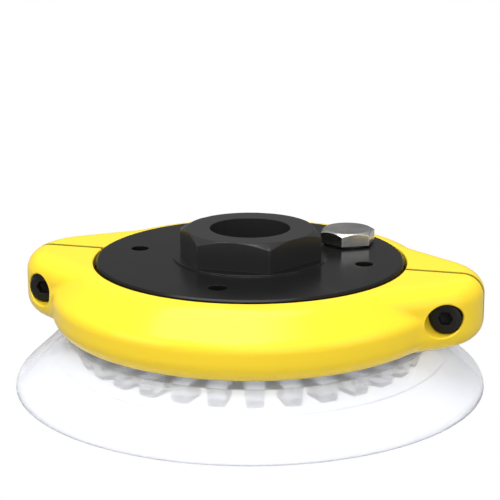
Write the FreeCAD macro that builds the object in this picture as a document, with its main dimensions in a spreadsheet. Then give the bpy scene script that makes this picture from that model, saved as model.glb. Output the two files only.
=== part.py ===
"""Flat vacuum cup: a clear silicone cup, a fitting plate and a two-part clamp ring.

Millimetres. The origin is the centre of the sealing plane, +Z runs up the vacuum port, and the clamp
ring splits on the XZ plane with its ears on +X and -X.
"""

import FreeCAD
import Part
import Sketcher
import math
import os

SIZES = [
    ("lip_diameter", 112.0, "sealing lip, outside"),
    ("lip_edge", 1.4, "height of the lip's rim before its corner is rounded"),
    ("lip_round", 3.0, "round from the lip's rim to the cone"),
    ("lip_land", 0.8, "width of the flat sealing land"),
    ("shoulder_diameter", 84.8, "top of the cup's cone, under the clamp"),
    ("neck_diameter", 78.0, "cup's neck inside the clamp's lower lip"),
    ("bead_diameter", 82.0, "cup's bead inside the clamp's groove"),
    ("bead_height", 4.9, "bead from the clamp's ledge to the plate's flange"),
    ("mouth_diameter", 65.2, "cup's mouth under the plate"),
    ("chamber_diameter", 80.4, "inside of the cone at the ceiling"),
    ("chamber_height", 10.5, "ceiling above the sealing plane"),
    ("web_thickness", 3.6, "ceiling's wall"),
    ("cleat_count", 30, "cleats round the ceiling"),
    ("cleat_turn", 10.6, "first cleat from +X, degrees"),
    ("cleat_width", 4.0, "cleat across its length"),
    ("cleat_drop", 4.2, "cleat below the ceiling"),
    ("cleat_inset", 0.4, "cleat's ends from the mouth and the cone"),
    ("cleat_bevel", 0.8, "bevel at the cleat's lower ends"),
    ("plate_diameter", 72.8, "plate's visible face"),
    ("plate_rise", 3.2, "plate's face above the flange"),
    ("plate_edge", 0.4, "bevel round the plate's face"),
    ("flange_diameter", 81.0, "flange that the clamp grips"),
    ("flange_rim", 2.8, "flange's thickness at its rim"),
    ("flange_taper", 1.0, "rise of the flange's upper flank"),
    ("spigot_diameter", 68.0, "plate's spigot inside the cup"),
    ("spigot_edge", 0.8, "bevel at the spigot's end"),
    ("hex_flats", 30.0, "raised hexagon across flats"),
    ("hex_height", 7.0, "hexagon above the plate's face"),
    ("hex_collar_diameter", 36.6, "round collar at the hexagon's foot"),
    ("hex_collar_height", 0.4, "collar above the plate's face"),
    ("chamfer_angle", 30.0, "chamfer of every hexagon's corners, degrees"),
    ("port_diameter", 19.0, "vacuum port, tapping size"),
    ("bolt_circle", 55.0, "pitch circle of the tapped holes and the side port"),
    ("bolt_count", 4, "tapped holes"),
    ("tap_diameter", 4.2, "tapped hole, tapping size"),
    ("tap_depth", 9.0, "tapped hole's depth"),
    ("side_port_diameter", 8.8, "side port, tapping size"),
    ("side_port_inset", 0.6, "side port inside the bolt circle"),
    ("side_port_angle", 42.4, "side port from +X, degrees"),
    ("plug_flats", 12.0, "plug's head across flats"),
    ("plug_head", 3.2, "plug's head height"),
    ("plug_length", 8.0, "plug's shank below the plate's face"),
    ("plug_bevel", 0.8, "bevel at the plug's tip"),
    ("plug_turn", 30.0, "turn of the plug's hexagon, degrees"),
    ("seal_diameter", 11.4, "sealing washer, outside"),
    ("seal_thickness", 0.5, "sealing washer's thickness"),
    ("ring_diameter", 94.0, "clamp ring's side wall"),
    ("ring_opening", 74.2, "clamp ring's opening round the plate"),
    ("ring_wall", 8.3, "side wall up to the cone's corner"),
    ("ring_ledge", 4.0, "lower lip's thickness"),
    ("ring_rim", 2.85, "flat rim before its edge is rounded"),
    ("plate_proud", 0.5, "plate's face above the clamp ring"),
    ("ring_shoulder", 3.5, "round between side wall and cone"),
    ("ring_edge", 5.0, "round along the top edge"),
    ("ring_base", 4.6, "round along the bottom edge"),
    ("opening_edge", 0.4, "bevel at the opening's edge"),
    ("ear_inset", 0.4, "ear's end inside the lip's outline"),
    ("ear_diameter", 32.4, "ear's round end"),
    ("split_gap", 1.0, "gap between the clamp halves"),
    ("screw_offset", 0.15, "screw's axis inside the middle of the ear's wall"),
    ("screw_rise", 7.65, "screw's axis above the clamp's bottom"),
    ("screw_diameter", 4.0, "clamp screw's thread"),
    ("screw_length", 20.0, "clamp screw under its head"),
    ("head_diameter", 7.0, "screw's head"),
    ("head_height", 4.0, "screw's head height"),
    ("head_edge", 0.4, "bevel round the screw's head"),
    ("head_seat", 7.2, "head's seat from the split plane"),
    ("socket_flats", 3.0, "hexagon socket across flats"),
    ("socket_depth", 2.0, "hexagon socket's depth"),
    ("tip_bevel", 0.6, "bevel at the screw's tip"),
    ("nut_flats", 7.0, "clamp nut across flats"),
    ("nut_height", 3.2, "clamp nut's height"),
    ("nut_seat", 7.2, "nut's seat from the split plane"),
    ("hole_clearance", 0.5, "screw's hole over its diameter"),
    ("head_clearance", 0.6, "counterbore over the head's diameter"),
    ("nut_clearance", 0.3, "nut's pocket over its flats"),
    ("thread_clearance", 0.2, "nut's or port's bore over the thread in it"),
    ("fit_gap", 0.15, "gap between seated pieces"),
    ("bead_gap", 0.3, "gap between the cup and the clamp"),
]

doc = FreeCAD.newDocument("flat_vacuum_cup")


def make_sheet():
    """Write the driving sizes to a sheet whose cells have the sizes' names."""
    sheet = doc.addObject("Spreadsheet::Sheet", "Sizes")
    for row, (alias, value, note) in enumerate(SIZES, start=1):
        sheet.set(f"A{row}", note)
        sheet.set(f"B{row}", str(value))
        sheet.setAlias(f"B{row}", alias)
    doc.recompute()
    return sheet


sheet = make_sheet()

# Heights of the seats, stacked up from the sealing plane
SEAT = "(Sizes.chamber_height + Sizes.web_thickness)"
LEDGE = f"({SEAT} + Sizes.ring_ledge)"
FLANGE_BOTTOM = f"({LEDGE} + Sizes.bead_height)"
FLANGE_RIM = f"({FLANGE_BOTTOM} + Sizes.flange_rim)"
FLANGE_TOP = f"({FLANGE_RIM} + Sizes.flange_taper)"
PLATE_TOP = f"({FLANGE_TOP} + Sizes.plate_rise)"
HEX_TOP = f"({PLATE_TOP} + Sizes.hex_height)"
RING_TOP = f"({PLATE_TOP} - Sizes.plate_proud)"
SCREW_AXIS = f"({SEAT} + Sizes.screw_rise)"

# Radii that more than one piece uses
LIP = "(Sizes.lip_diameter / 2)"
BEAD = "(Sizes.bead_diameter / 2)"
NECK = "(Sizes.neck_diameter / 2)"
MOUTH = "(Sizes.mouth_diameter / 2)"
CHAMBER = "(Sizes.chamber_diameter / 2)"
SPIGOT = "(Sizes.spigot_diameter / 2)"
PLATE = "(Sizes.plate_diameter / 2)"
FLANGE = "(Sizes.flange_diameter / 2)"
RING = "(Sizes.ring_diameter / 2)"
OPENING = "(Sizes.ring_opening / 2)"
BOLT = "(Sizes.bolt_circle / 2)"
GROOVE = f"({BEAD} + Sizes.bead_gap)"

# Places along the ears, which end just inside the lip
EAR_TIP = f"({LIP} - Sizes.ear_inset)"
EAR_CENTRE = f"({EAR_TIP} - Sizes.ear_diameter / 2)"
RIM = f"({OPENING} + Sizes.ring_rim)"
EAR_SLANT = f"(({RIM} - Sizes.ear_diameter / 2) / {EAR_CENTRE})"
SCREW_REACH = f"(({GROOVE} + {EAR_TIP}) / 2 - Sizes.screw_offset)"

TOUCH = 1e-4
SPLIT_MARGIN = 20.0
CORNER_MARGIN = 0.2
START_ROUND = 0.1


def size(alias):
    """Value of one driving size."""
    return float(sheet.get(alias))


def origin_part(body, role):
    """One of a body's own origin planes or axes, found by its role."""
    return next(feature for feature in body.Origin.OriginFeatures if feature.Role == role)


def new_body(label):
    """Start a sub-part."""
    body = doc.addObject("PartDesign::Body", label)
    body.Label = label
    return body


def new_sketch(body, name, plane, offset=None):
    """Lay a sketch on an origin plane, raised along the plane's normal by an expression."""
    sketch = body.newObject("Sketcher::SketchObject", name)
    sketch.AttachmentSupport = (origin_part(body, plane), [""])
    sketch.MapMode = "FlatFace"
    if offset:
        sketch.setExpression("AttachmentOffset.Base.z", offset)
    return sketch


def outline(body, name, plane, corners, offset=None):
    """Draw a closed outline of straight edges, each corner bound to a pair of expressions."""
    sketch = new_sketch(body, name, plane, offset)
    count = len(corners)
    turn = 2 * math.pi / count
    start = [FreeCAD.Vector(math.cos(turn * i), math.sin(turn * i), 0) for i in range(count)]
    sketch.addGeometry([Part.LineSegment(start[i], start[(i + 1) % count]) for i in range(count)])
    for i, (across, up) in enumerate(corners):
        sketch.addConstraint(Sketcher.Constraint("Coincident", i, 2, (i + 1) % count, 1))
        for kind, value, expression in (("DistanceX", start[i].x, across), ("DistanceY", start[i].y, up)):
            index = sketch.addConstraint(Sketcher.Constraint(kind, -1, 1, i, 1, value))
            sketch.setExpression(f"Constraints[{index}]", expression)
    return sketch


def round_corner(sketch, corner, radius):
    """Round one corner of a solved outline with a tangent arc bound to an expression."""
    arc = sketch.GeometryCount
    sketch.fillet(corner, 1, START_ROUND, True, True)
    index = sketch.addConstraint(Sketcher.Constraint("Radius", arc, START_ROUND))
    sketch.setExpression(f"Constraints[{index}]", radius)
    doc.recompute()


def circles(body, name, plane, centres, diameter, offset=None):
    """Draw equal circles, each centre bound to a pair of expressions."""
    sketch = new_sketch(body, name, plane, offset)
    for i, (across, up) in enumerate(centres):
        sketch.addGeometry(Part.Circle(FreeCAD.Vector(i, i, 0), FreeCAD.Vector(0, 0, 1), 1))
        for kind, expression in (("DistanceX", across), ("DistanceY", up)):
            index = sketch.addConstraint(Sketcher.Constraint(kind, -1, 1, i, 3, i))
            sketch.setExpression(f"Constraints[{index}]", expression)
        index = sketch.addConstraint(Sketcher.Constraint("Diameter", i, 2))
        sketch.setExpression(f"Constraints[{index}]", diameter)
    return sketch


def hexagon(across, up, flats, turn="0"):
    """Corner expressions of a hexagon about a centre, its first corner turned by some degrees."""
    reach = f"({flats}) / sqrt(3)"
    angles = [f"({turn} + {60 * corner}) * 1 deg" for corner in range(6)]
    return [(f"{across} + {reach} * cos({angle})", f"{up} + {reach} * sin({angle})") for angle in angles]


def add_feature(body, kind, name, profile, **settings):
    """Add a sketch-based feature to a body and work it out, so that a later one can read its edges."""
    feature = body.newObject(f"PartDesign::{kind}", name)
    feature.Profile = profile
    feature.Refine = True
    for setting, value in settings.items():
        setattr(feature, setting, value)
    return feature


def revolve(body, kind, name, corners):
    """Turn a half section, drawn as radius and height, about the body's Z axis."""
    sketch = outline(body, f"{name}_section", "XZ_Plane", corners)
    feature = add_feature(body, kind, name, sketch, ReferenceAxis=(origin_part(body, "Z_Axis"), [""]))
    feature.Angle = 360
    doc.recompute()
    return feature


def extrude(body, kind, name, sketch, length=None, **settings):
    """Pad or pocket a sketch by an expression, or pocket it through everything."""
    feature = add_feature(body, kind, name, sketch, **settings)
    if length:
        feature.setExpression("Length", length)
    else:
        feature.Type = "ThroughAll"
    doc.recompute()
    return feature


def repeat_round(body, name, feature, count):
    """Repeat a feature evenly round the body's Z axis."""
    pattern = body.newObject("PartDesign::PolarPattern", name)
    pattern.Originals = [feature]
    pattern.Axis = (origin_part(body, "Z_Axis"), [""])
    pattern.Angle = 360
    pattern.setExpression("Occurrences", count)
    pattern.Refine = True
    body.Tip = pattern
    doc.recompute()
    return pattern


def dress_edges(body, kind, name, feature, width, wanted):
    """Round or bevel the edges of a feature that pass a test on the edge."""
    names = [f"Edge{i}" for i, edge in enumerate(feature.Shape.Edges, start=1) if wanted(edge)]
    if not names:
        raise ValueError(f"{name} finds no edge")
    dressed = body.newObject(f"PartDesign::{kind}", name)
    dressed.Base = (feature, names)
    dressed.setExpression({"Fillet": "Radius", "Chamfer": "Size"}[kind], width)
    doc.recompute()
    return dressed


def middle(edge):
    """Point halfway along an edge."""
    return edge.valueAt((edge.FirstParameter + edge.LastParameter) / 2)


def lies_at(edge, height):
    """Whether an edge lies in the level plane at a height."""
    return abs(edge.BoundBox.ZMin - height) < TOUCH and abs(edge.BoundBox.ZMax - height) < TOUCH


def chamfer_hexagon(body, name, flats, top):
    """Turn down the corners at the top of a hexagon, from a circle as wide as its flats."""
    inner = f"{flats} / 2"
    outer = f"({flats} / sqrt(3) + {CORNER_MARGIN})"
    drop = f"({outer} - {inner}) * tan(Sizes.chamfer_angle * 1 deg)"
    return revolve(body, "Groove", name, [(inner, top), (outer, top), (outer, f"{top} - {drop}")])


def make_suction_cup():
    """Moulded cup: thin conical lip, cleated ceiling, and a neck and bead for the clamp."""
    body = new_body("suction_cup")
    bead_inside = f"{SPIGOT} + Sizes.fit_gap"
    cup_wall = revolve(body, "Revolution", "cup_wall", [
        (f"{LIP} - Sizes.lip_land", "0"),
        (LIP, "0"),
        (LIP, "Sizes.lip_edge"),
        ("Sizes.shoulder_diameter / 2", SEAT),
        (NECK, SEAT),
        (NECK, LEDGE),
        (BEAD, LEDGE),
        (BEAD, FLANGE_BOTTOM),
        (bead_inside, FLANGE_BOTTOM),
        (bead_inside, SEAT),
        (MOUTH, SEAT),
        (MOUTH, "Sizes.chamber_height"),
        (CHAMBER, "Sizes.chamber_height"),
    ])
    round_corner(cup_wall.Profile[0], 2, "Sizes.lip_round")
    inner = f"{MOUTH} + Sizes.cleat_inset"
    outer = f"{CHAMBER} - Sizes.cleat_inset"
    root = "Sizes.chamber_height + Sizes.web_thickness / 2"
    tip = "Sizes.chamber_height - Sizes.cleat_drop"
    cleat_side = outline(body, "cleat_side", "XZ_Plane", [
        (inner, root),
        (inner, f"{tip} + Sizes.cleat_bevel"),
        (f"{inner} + Sizes.cleat_bevel", tip),
        (f"{outer} - Sizes.cleat_bevel", tip),
        (outer, f"{tip} + Sizes.cleat_bevel"),
        (outer, root),
    ])
    cleat_side.AttachmentOffset.Rotation = FreeCAD.Rotation(FreeCAD.Vector(0, 1, 0), size("cleat_turn"))
    cleat_side.setExpression("AttachmentOffset.Rotation.Angle", "Sizes.cleat_turn * 1 deg")
    cleat = extrude(body, "Pad", "cleat", cleat_side, "Sizes.cleat_width", SideType="Symmetric")
    repeat_round(body, "cleats", cleat, "Sizes.cleat_count")
    return body


def make_fitting_plate():
    """Turned plate with a flange, a spigot, a milled hexagon, the vacuum port and tapped holes."""
    body = new_body("fitting_plate")
    bottom = f"{SEAT} + Sizes.fit_gap"
    collar = "Sizes.hex_collar_diameter / 2"
    collar_top = f"{PLATE_TOP} + Sizes.hex_collar_height"
    revolve(body, "Revolution", "plate_disc", [
        ("0", bottom),
        (f"{SPIGOT} - Sizes.spigot_edge", bottom),
        (SPIGOT, f"{bottom} + Sizes.spigot_edge"),
        (SPIGOT, FLANGE_BOTTOM),
        (FLANGE, FLANGE_BOTTOM),
        (FLANGE, FLANGE_RIM),
        (PLATE, FLANGE_TOP),
        (PLATE, f"{PLATE_TOP} - Sizes.plate_edge"),
        (f"{PLATE} - Sizes.plate_edge", PLATE_TOP),
        (collar, PLATE_TOP),
        (collar, collar_top),
        ("0", collar_top),
    ])
    hex_corners = hexagon("0", "0", "Sizes.hex_flats")
    hex_outline = outline(body, "hex_outline", "XY_Plane", hex_corners, PLATE_TOP)
    extrude(body, "Pad", "hex_boss", hex_outline, "Sizes.hex_height")
    chamfer_hexagon(body, "hex_chamfer", "Sizes.hex_flats", HEX_TOP)
    port = circles(body, "port_circle", "XY_Plane", [("0", "0")], "Sizes.port_diameter", HEX_TOP)
    extrude(body, "Pocket", "vacuum_port", port)
    tap_circle = circles(body, "tap_circle", "XY_Plane", [(BOLT, "0")], "Sizes.tap_diameter", PLATE_TOP)
    tapped_hole = extrude(body, "Pocket", "tapped_hole", tap_circle, "Sizes.tap_depth")
    tapped_holes = repeat_round(body, "tapped_holes", tapped_hole, "Sizes.bolt_count")
    side_centre = [side_port_place()]
    side_circle = circles(body, "side_circle", "XY_Plane", side_centre, "Sizes.side_port_diameter", PLATE_TOP)
    side_port = extrude(body, "Pocket", "side_port", side_circle)
    if side_port.Shape.Volume >= tapped_holes.Shape.Volume:
        raise ValueError("side port cuts nothing")
    return body


def side_port_place():
    """Expressions of the side port's place, near the bolt circle."""
    reach = f"({BOLT} - Sizes.side_port_inset)"
    angle = "Sizes.side_port_angle * 1 deg"
    return f"{reach} * cos({angle})", f"{reach} * sin({angle})"


def make_clamp_blank(body):
    """Whole clamp ring in one piece: a coned ring on a lug whose round ends are the ears; gives its top."""
    tip = f"{RIM} / {EAR_SLANT}"
    side = f"{RIM} / sqrt(1 - {EAR_SLANT} ^ 2)"
    corners = [(tip, "0"), ("0", side), (f"-{tip}", "0"), ("0", f"-{side}")]
    lug_outline = outline(body, "lug_outline", "XY_Plane", corners, SEAT)
    doc.recompute()
    for corner, radius in enumerate(("Sizes.ear_diameter / 2", RIM) * 2):
        round_corner(lug_outline, corner, radius)
    lug = extrude(body, "Pad", "lug", lug_outline, f"{RING_TOP} - {SEAT}")
    seat = size("chamber_height") + size("web_thickness")
    top = seat + lug.Length.Value
    base = dress_edges(body, "Fillet", "lug_base", lug, "Sizes.ring_base", lambda e: lies_at(e, seat))
    dress_edges(body, "Fillet", "lug_edge", base, "Sizes.ring_edge", lambda e: lies_at(e, top))
    ring = revolve(body, "Revolution", "ring_form", [
        ("0", SEAT),
        (RING, SEAT),
        (RING, f"{SEAT} + Sizes.ring_wall"),
        (RIM, RING_TOP),
        ("0", RING_TOP),
    ])
    for corner, radius in ((1, "Sizes.ring_base"), (2, "Sizes.ring_shoulder"), (3, "Sizes.ring_edge")):
        round_corner(ring.Profile[0], corner, radius)
    doc.recompute()
    return top


def cut_clamp_half(label):
    """Half of the clamp ring: blank hollowed for the cup and plate, split, and drilled for the screws."""
    body = new_body(label)
    top = make_clamp_blank(body)
    gap = "Sizes.fit_gap"
    flank_rise = f"Sizes.flange_taper * ({FLANGE} - {OPENING}) / ({FLANGE} - {PLATE})"
    hollowed = revolve(body, "Groove", "clamp_groove", [
        ("0", f"{SEAT} - {gap}"),
        (f"{NECK} + Sizes.bead_gap", f"{SEAT} - {gap}"),
        (f"{NECK} + Sizes.bead_gap", f"{LEDGE} - {gap}"),
        (GROOVE, f"{LEDGE} - {gap}"),
        (GROOVE, f"{FLANGE_RIM} + {gap}"),
        (FLANGE, f"{FLANGE_RIM} + {gap}"),
        (OPENING, f"{FLANGE_RIM} + {flank_rise} + {gap}"),
        (OPENING, f"{RING_TOP} + {gap}"),
        ("0", f"{RING_TOP} + {gap}"),
    ])
    opening = size("ring_opening") / 2

    def at_opening(edge):
        point = middle(edge)
        return lies_at(edge, top) and abs(math.hypot(point.x, point.y) - opening) < TOUCH

    dress_edges(body, "Chamfer", "opening_bevel", hollowed, "Sizes.opening_edge", at_opening)
    reach = f"({EAR_TIP} + {SPLIT_MARGIN})"
    low = f"{SEAT} - {SPLIT_MARGIN}"
    high = f"{RING_TOP} + {SPLIT_MARGIN}"
    corners = [(f"-{reach}", low), (reach, low), (reach, high), (f"-{reach}", high)]
    split_sheet = outline(body, "split_sheet", "XZ_Plane", corners, "Sizes.split_gap / 2")
    extrude(body, "Pocket", "split", split_sheet)
    places = [(SCREW_REACH, SCREW_AXIS), (f"-{SCREW_REACH}", SCREW_AXIS)]
    hole = "Sizes.screw_diameter + Sizes.hole_clearance"
    screw_circles = circles(body, "screw_circles", "XZ_Plane", places, hole)
    extrude(body, "Pocket", "screw_holes", screw_circles, Reversed=True)
    return body, places


def make_clamp_half_front():
    """Front half, with counterbores that take the screws' heads."""
    body, places = cut_clamp_half("clamp_half_front")
    bore = "Sizes.head_diameter + Sizes.head_clearance"
    head_circles = circles(body, "head_circles", "XZ_Plane", places, bore, "Sizes.head_seat")
    extrude(body, "Pocket", "counterbores", head_circles, Reversed=True)
    return body


def make_clamp_half_rear():
    """Rear half, turned half round, with hexagon pockets that hold the nuts."""
    body, places = cut_clamp_half("clamp_half_rear")
    for name, (across, up) in zip(("nut_pocket_a", "nut_pocket_b"), places):
        corners = hexagon(across, up, "Sizes.nut_flats + Sizes.nut_clearance", "30")
        pocket_outline = outline(body, f"{name}_outline", "XZ_Plane", corners, "Sizes.nut_seat")
        extrude(body, "Pocket", name, pocket_outline, Reversed=True)
    body.Placement = FreeCAD.Placement(FreeCAD.Vector(), FreeCAD.Rotation(FreeCAD.Vector(0, 0, 1), 180))
    return body


def place_on_screw_axis(body, across_split, quarter_turn):
    """Stand a fastener's Z axis along the right-hand screw, at its seat's distance from the split plane."""
    body.Placement = FreeCAD.Placement(
        FreeCAD.Vector(), FreeCAD.Rotation(FreeCAD.Vector(1, 0, 0), quarter_turn)
    )
    body.setExpression("Placement.Base.x", SCREW_REACH)
    body.setExpression("Placement.Base.y", across_split)
    body.setExpression("Placement.Base.z", SCREW_AXIS)


def pair_up(body, label):
    """One sub-part of two solids: a fastener and its mirror image in the other ear."""
    mirrored = doc.addObject("Part::Mirroring", f"{label}_mirrored")
    mirrored.Source = body
    mirrored.Normal = FreeCAD.Vector(1, 0, 0)
    pair = doc.addObject("Part::Compound", label)
    pair.Label = label
    pair.Links = [body, mirrored]
    doc.recompute()
    return pair


def make_clamp_screws():
    """Two socket-head screws, each standing on the seat under its head."""
    body = new_body("clamp_screw")
    head = "Sizes.head_diameter / 2"
    shank = "Sizes.screw_diameter / 2"
    top = "Sizes.head_height"
    revolve(body, "Revolution", "screw_turned", [
        ("0", "-Sizes.screw_length"),
        (f"{shank} - Sizes.tip_bevel", "-Sizes.screw_length"),
        (shank, "-Sizes.screw_length + Sizes.tip_bevel"),
        (shank, "0"),
        (head, "0"),
        (head, f"{top} - Sizes.head_edge"),
        (f"{head} - Sizes.head_edge", top),
        ("0", top),
    ])
    socket_corners = hexagon("0", "0", "Sizes.socket_flats")
    socket_outline = outline(body, "socket_outline", "XY_Plane", socket_corners, top)
    extrude(body, "Pocket", "socket", socket_outline, "Sizes.socket_depth")
    place_on_screw_axis(body, "-Sizes.head_seat", 90)
    return pair_up(body, "clamp_screws")


def make_clamp_nuts():
    """Two hexagon nuts, each standing on its pocket's floor."""
    body = new_body("clamp_nut")
    nut_corners = hexagon("0", "0", "Sizes.nut_flats", "30")
    nut_outline = outline(body, "nut_outline", "XY_Plane", nut_corners)
    extrude(body, "Pad", "nut_blank", nut_outline, "Sizes.nut_height")
    chamfer_hexagon(body, "nut_chamfer", "Sizes.nut_flats", "Sizes.nut_height")
    bore = "Sizes.screw_diameter + Sizes.thread_clearance"
    bore_circle = circles(body, "nut_circle", "XY_Plane", [("0", "0")], bore, "Sizes.nut_height")
    extrude(body, "Pocket", "nut_bore", bore_circle)
    place_on_screw_axis(body, "Sizes.nut_seat", -90)
    return pair_up(body, "clamp_nuts")


def stand_on_side_port(body):
    """Stand a sub-part on the plate's face, centred on the side port."""
    across, up = side_port_place()
    body.setExpression("Placement.Base.x", across)
    body.setExpression("Placement.Base.y", up)
    body.setExpression("Placement.Base.z", PLATE_TOP)


def make_port_plug():
    """Hexagon-head plug that closes the side port."""
    body = new_body("port_plug")
    shank = "(Sizes.side_port_diameter - Sizes.thread_clearance) / 2"
    underside = "Sizes.seal_thickness"
    top = f"({underside} + Sizes.plug_head)"
    revolve(body, "Revolution", "plug_shank", [
        ("0", "-Sizes.plug_length"),
        (f"{shank} - Sizes.plug_bevel", "-Sizes.plug_length"),
        (shank, "-Sizes.plug_length + Sizes.plug_bevel"),
        (shank, f"{underside} + Sizes.plug_head / 2"),
        ("0", f"{underside} + Sizes.plug_head / 2"),
    ])
    head_corners = hexagon("0", "0", "Sizes.plug_flats", "Sizes.plug_turn")
    head_outline = outline(body, "head_outline", "XY_Plane", head_corners, underside)
    extrude(body, "Pad", "plug_head", head_outline, "Sizes.plug_head")
    chamfer_hexagon(body, "plug_chamfer", "Sizes.plug_flats", top)
    stand_on_side_port(body)
    return body


def make_plug_seal():
    """Sealing washer under the plug's head."""
    disc = doc.addObject("Part::Cylinder", "seal_disc")
    disc.setExpression("Radius", "Sizes.seal_diameter / 2")
    disc.setExpression("Height", "Sizes.seal_thickness")
    hole = doc.addObject("Part::Cylinder", "seal_hole")
    hole.setExpression("Radius", "Sizes.side_port_diameter / 2")
    hole.setExpression("Height", "Sizes.seal_thickness")
    seal = doc.addObject("Part::Cut", "plug_seal")
    seal.Label = "plug_seal"
    seal.Base = disc
    seal.Tool = hole
    stand_on_side_port(seal)
    return seal


def check(sub_parts):
    """Stop if any feature failed or any sub-part has no sound shape."""
    doc.recompute()
    for feature in doc.Objects:
        if "Invalid" in feature.State or "Error" in feature.State:
            raise RuntimeError(f"{feature.Label} failed: {feature.State}")
    for sub_part in sub_parts:
        if sub_part.Shape.isNull() or not sub_part.Shape.isValid():
            raise RuntimeError(f"{sub_part.Label} has no sound shape")


def main():
    """Build every sub-part, check it and write its shape."""
    sub_parts = [
        make_suction_cup(),
        make_fitting_plate(),
        make_clamp_half_front(),
        make_clamp_half_rear(),
        make_clamp_screws(),
        make_clamp_nuts(),
        make_port_plug(),
        make_plug_seal(),
    ]
    check(sub_parts)
    os.makedirs("parts", exist_ok=True)
    for sub_part in sub_parts:
        shape = sub_part.Shape
        shape.exportStep(f"parts/{sub_part.Label}.step")
        print(f"{sub_part.Label}: {len(shape.Solids)} solid(s), {shape.Volume:.1f} mm3")


main()
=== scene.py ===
"""Looks of a flat vacuum cup: a clear silicone cup, a black fitting plate and a split yellow clamp ring.

Sizes are millimetres in the part's own frame: the origin is the centre of the sealing plane, +Z runs up
the vacuum port, and the clamp ring splits on the XZ plane with its ears on +X and -X. Meshes are in metres.
"""

import logging
import math
from collections.abc import Callable, Sequence
from dataclasses import dataclass, field
from enum import Enum

import bmesh
import bpy
import numpy as np
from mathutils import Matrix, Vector


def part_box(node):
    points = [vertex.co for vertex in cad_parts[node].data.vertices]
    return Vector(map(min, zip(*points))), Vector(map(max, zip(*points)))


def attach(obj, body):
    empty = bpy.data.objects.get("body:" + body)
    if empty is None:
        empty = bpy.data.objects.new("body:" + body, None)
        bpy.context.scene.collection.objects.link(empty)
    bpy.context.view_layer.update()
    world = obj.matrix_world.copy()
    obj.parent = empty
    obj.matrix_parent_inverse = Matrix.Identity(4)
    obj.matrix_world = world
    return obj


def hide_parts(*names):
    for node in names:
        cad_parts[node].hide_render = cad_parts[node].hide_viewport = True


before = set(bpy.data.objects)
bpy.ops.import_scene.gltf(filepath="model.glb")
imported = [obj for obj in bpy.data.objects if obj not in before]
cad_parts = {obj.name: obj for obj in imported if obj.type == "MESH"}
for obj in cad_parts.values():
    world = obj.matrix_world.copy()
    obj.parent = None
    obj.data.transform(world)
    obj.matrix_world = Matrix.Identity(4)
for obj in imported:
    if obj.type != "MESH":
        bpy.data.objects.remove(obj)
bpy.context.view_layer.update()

log = logging.getLogger("vacuum_cup")

Corner = tuple[float, float, float]
Place = tuple[float, float, float]
Colour = tuple[float, float, float, float]
Steps = tuple[tuple[float, ...], ...]
Given = bpy.types.NodeSocket | Sequence[float] | float | None
Outputs = bpy.types.bpy_prop_collection
Sockets = tuple[bpy.types.NodeSocket, ...]

MM = 0.001
BODY = "root"
FULL_TURN = 2 * math.pi
HEX_SIDES = 6
SIXTH_TURN = FULL_TURN / HEX_SIDES
SMOOTH_ANGLE = math.radians(38)
ARC_STEP = math.radians(11)
WHITE: Colour = (1.0, 1.0, 1.0, 1.0)
BLACK: Colour = (0.0, 0.0, 0.0, 1.0)

# Sizes that more than one piece takes up, and the gaps between pieces that fit together
FIT_GAP = 0.15
BEAD_GAP = 0.3
NECK = 39.0
BEAD = 41.0
LEDGE = 18.1
SPIGOT = 34.0
FLANGE = 40.5
FLANGE_RIM = 25.8
PLATE_FACE = 30.0
COLLAR_HEIGHT = 0.4
SIDE_PORT = 4.4
SCREW_REACH = 48.3
SCREW_SEAT = 7.2


class Side(Enum):
    """Half of the clamp ring; the value is the sign of its Y."""

    FRONT = -1
    REAR = 1

    def turned(self, points: np.ndarray) -> np.ndarray:
        """Points drawn with Y positive, turned to this side."""
        return points * (1.0, self.value, 1.0)


class Ear(Enum):
    """Ear of the clamp ring; the value is the sign of its X."""

    RIGHT = 1
    LEFT = -1


# Outlines and rows of points


def node_span(node: str, axis: int) -> tuple[float, float]:
    """Lowest and highest place of a CAD node along an axis, in millimetres."""
    low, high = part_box(node)
    return low[axis] / MM, high[axis] / MM


def node_middle(node: str) -> np.ndarray:
    """Middle of a CAD node's box, in millimetres."""
    return np.array([sum(node_span(node, axis)) / 2 for axis in range(3)])


def nearest(values: np.ndarray, aim: float) -> int:
    """Number of the value that comes nearest to an aim."""
    return int(np.argmin(np.abs(values - aim)))


def rounded(corners: Sequence[Corner], closed: bool = False, step: float = ARC_STEP) -> np.ndarray:
    """Round the corners of a flat outline with tangent arcs.

    Args:
        corners: Points as (across, up, radius), a radius of 0 keeping its corner sharp.
        closed: Whether the last corner joins the first.
        step: Largest turn between two points of an arc.

    Returns:
        The outline's points, one row each.
    """
    points: list[np.ndarray] = []
    count = len(corners)
    for i, (across, up, radius) in enumerate(corners):
        here = np.array((across, up))
        if radius == 0 or (not closed and i in (0, count - 1)):
            points.append(here)
            continue
        before = np.array(corners[i - 1][:2]) - here
        after = np.array(corners[(i + 1) % count][:2]) - here
        before /= np.linalg.norm(before)
        after /= np.linalg.norm(after)
        half = math.acos(float(np.clip(before @ after, -1, 1))) / 2
        centre = here + (before + after) / np.linalg.norm(before + after) * radius / math.sin(half)
        start = here + before * radius / math.tan(half) - centre
        end = here + after * radius / math.tan(half) - centre
        sweep = math.pi - 2 * half
        steps = max(2, math.ceil(sweep / step))
        for share in np.linspace(0, 1, steps + 1):
            blend = math.sin((1 - share) * sweep) * start + math.sin(share * sweep) * end
            points.append(centre + blend / math.sin(sweep))
    return np.array(points)


def full_turn(count: int) -> np.ndarray:
    """Evenly spaced directions over a full turn."""
    return np.arange(count) * FULL_TURN / count


def around(angles: np.ndarray, radius: np.ndarray | float, height: np.ndarray | float) -> np.ndarray:
    """Ring of points about Z, with one radius and height or one for each angle."""
    level = np.broadcast_to(np.asarray(height, float), angles.shape)
    return np.column_stack((radius * np.cos(angles), radius * np.sin(angles), level))


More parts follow.
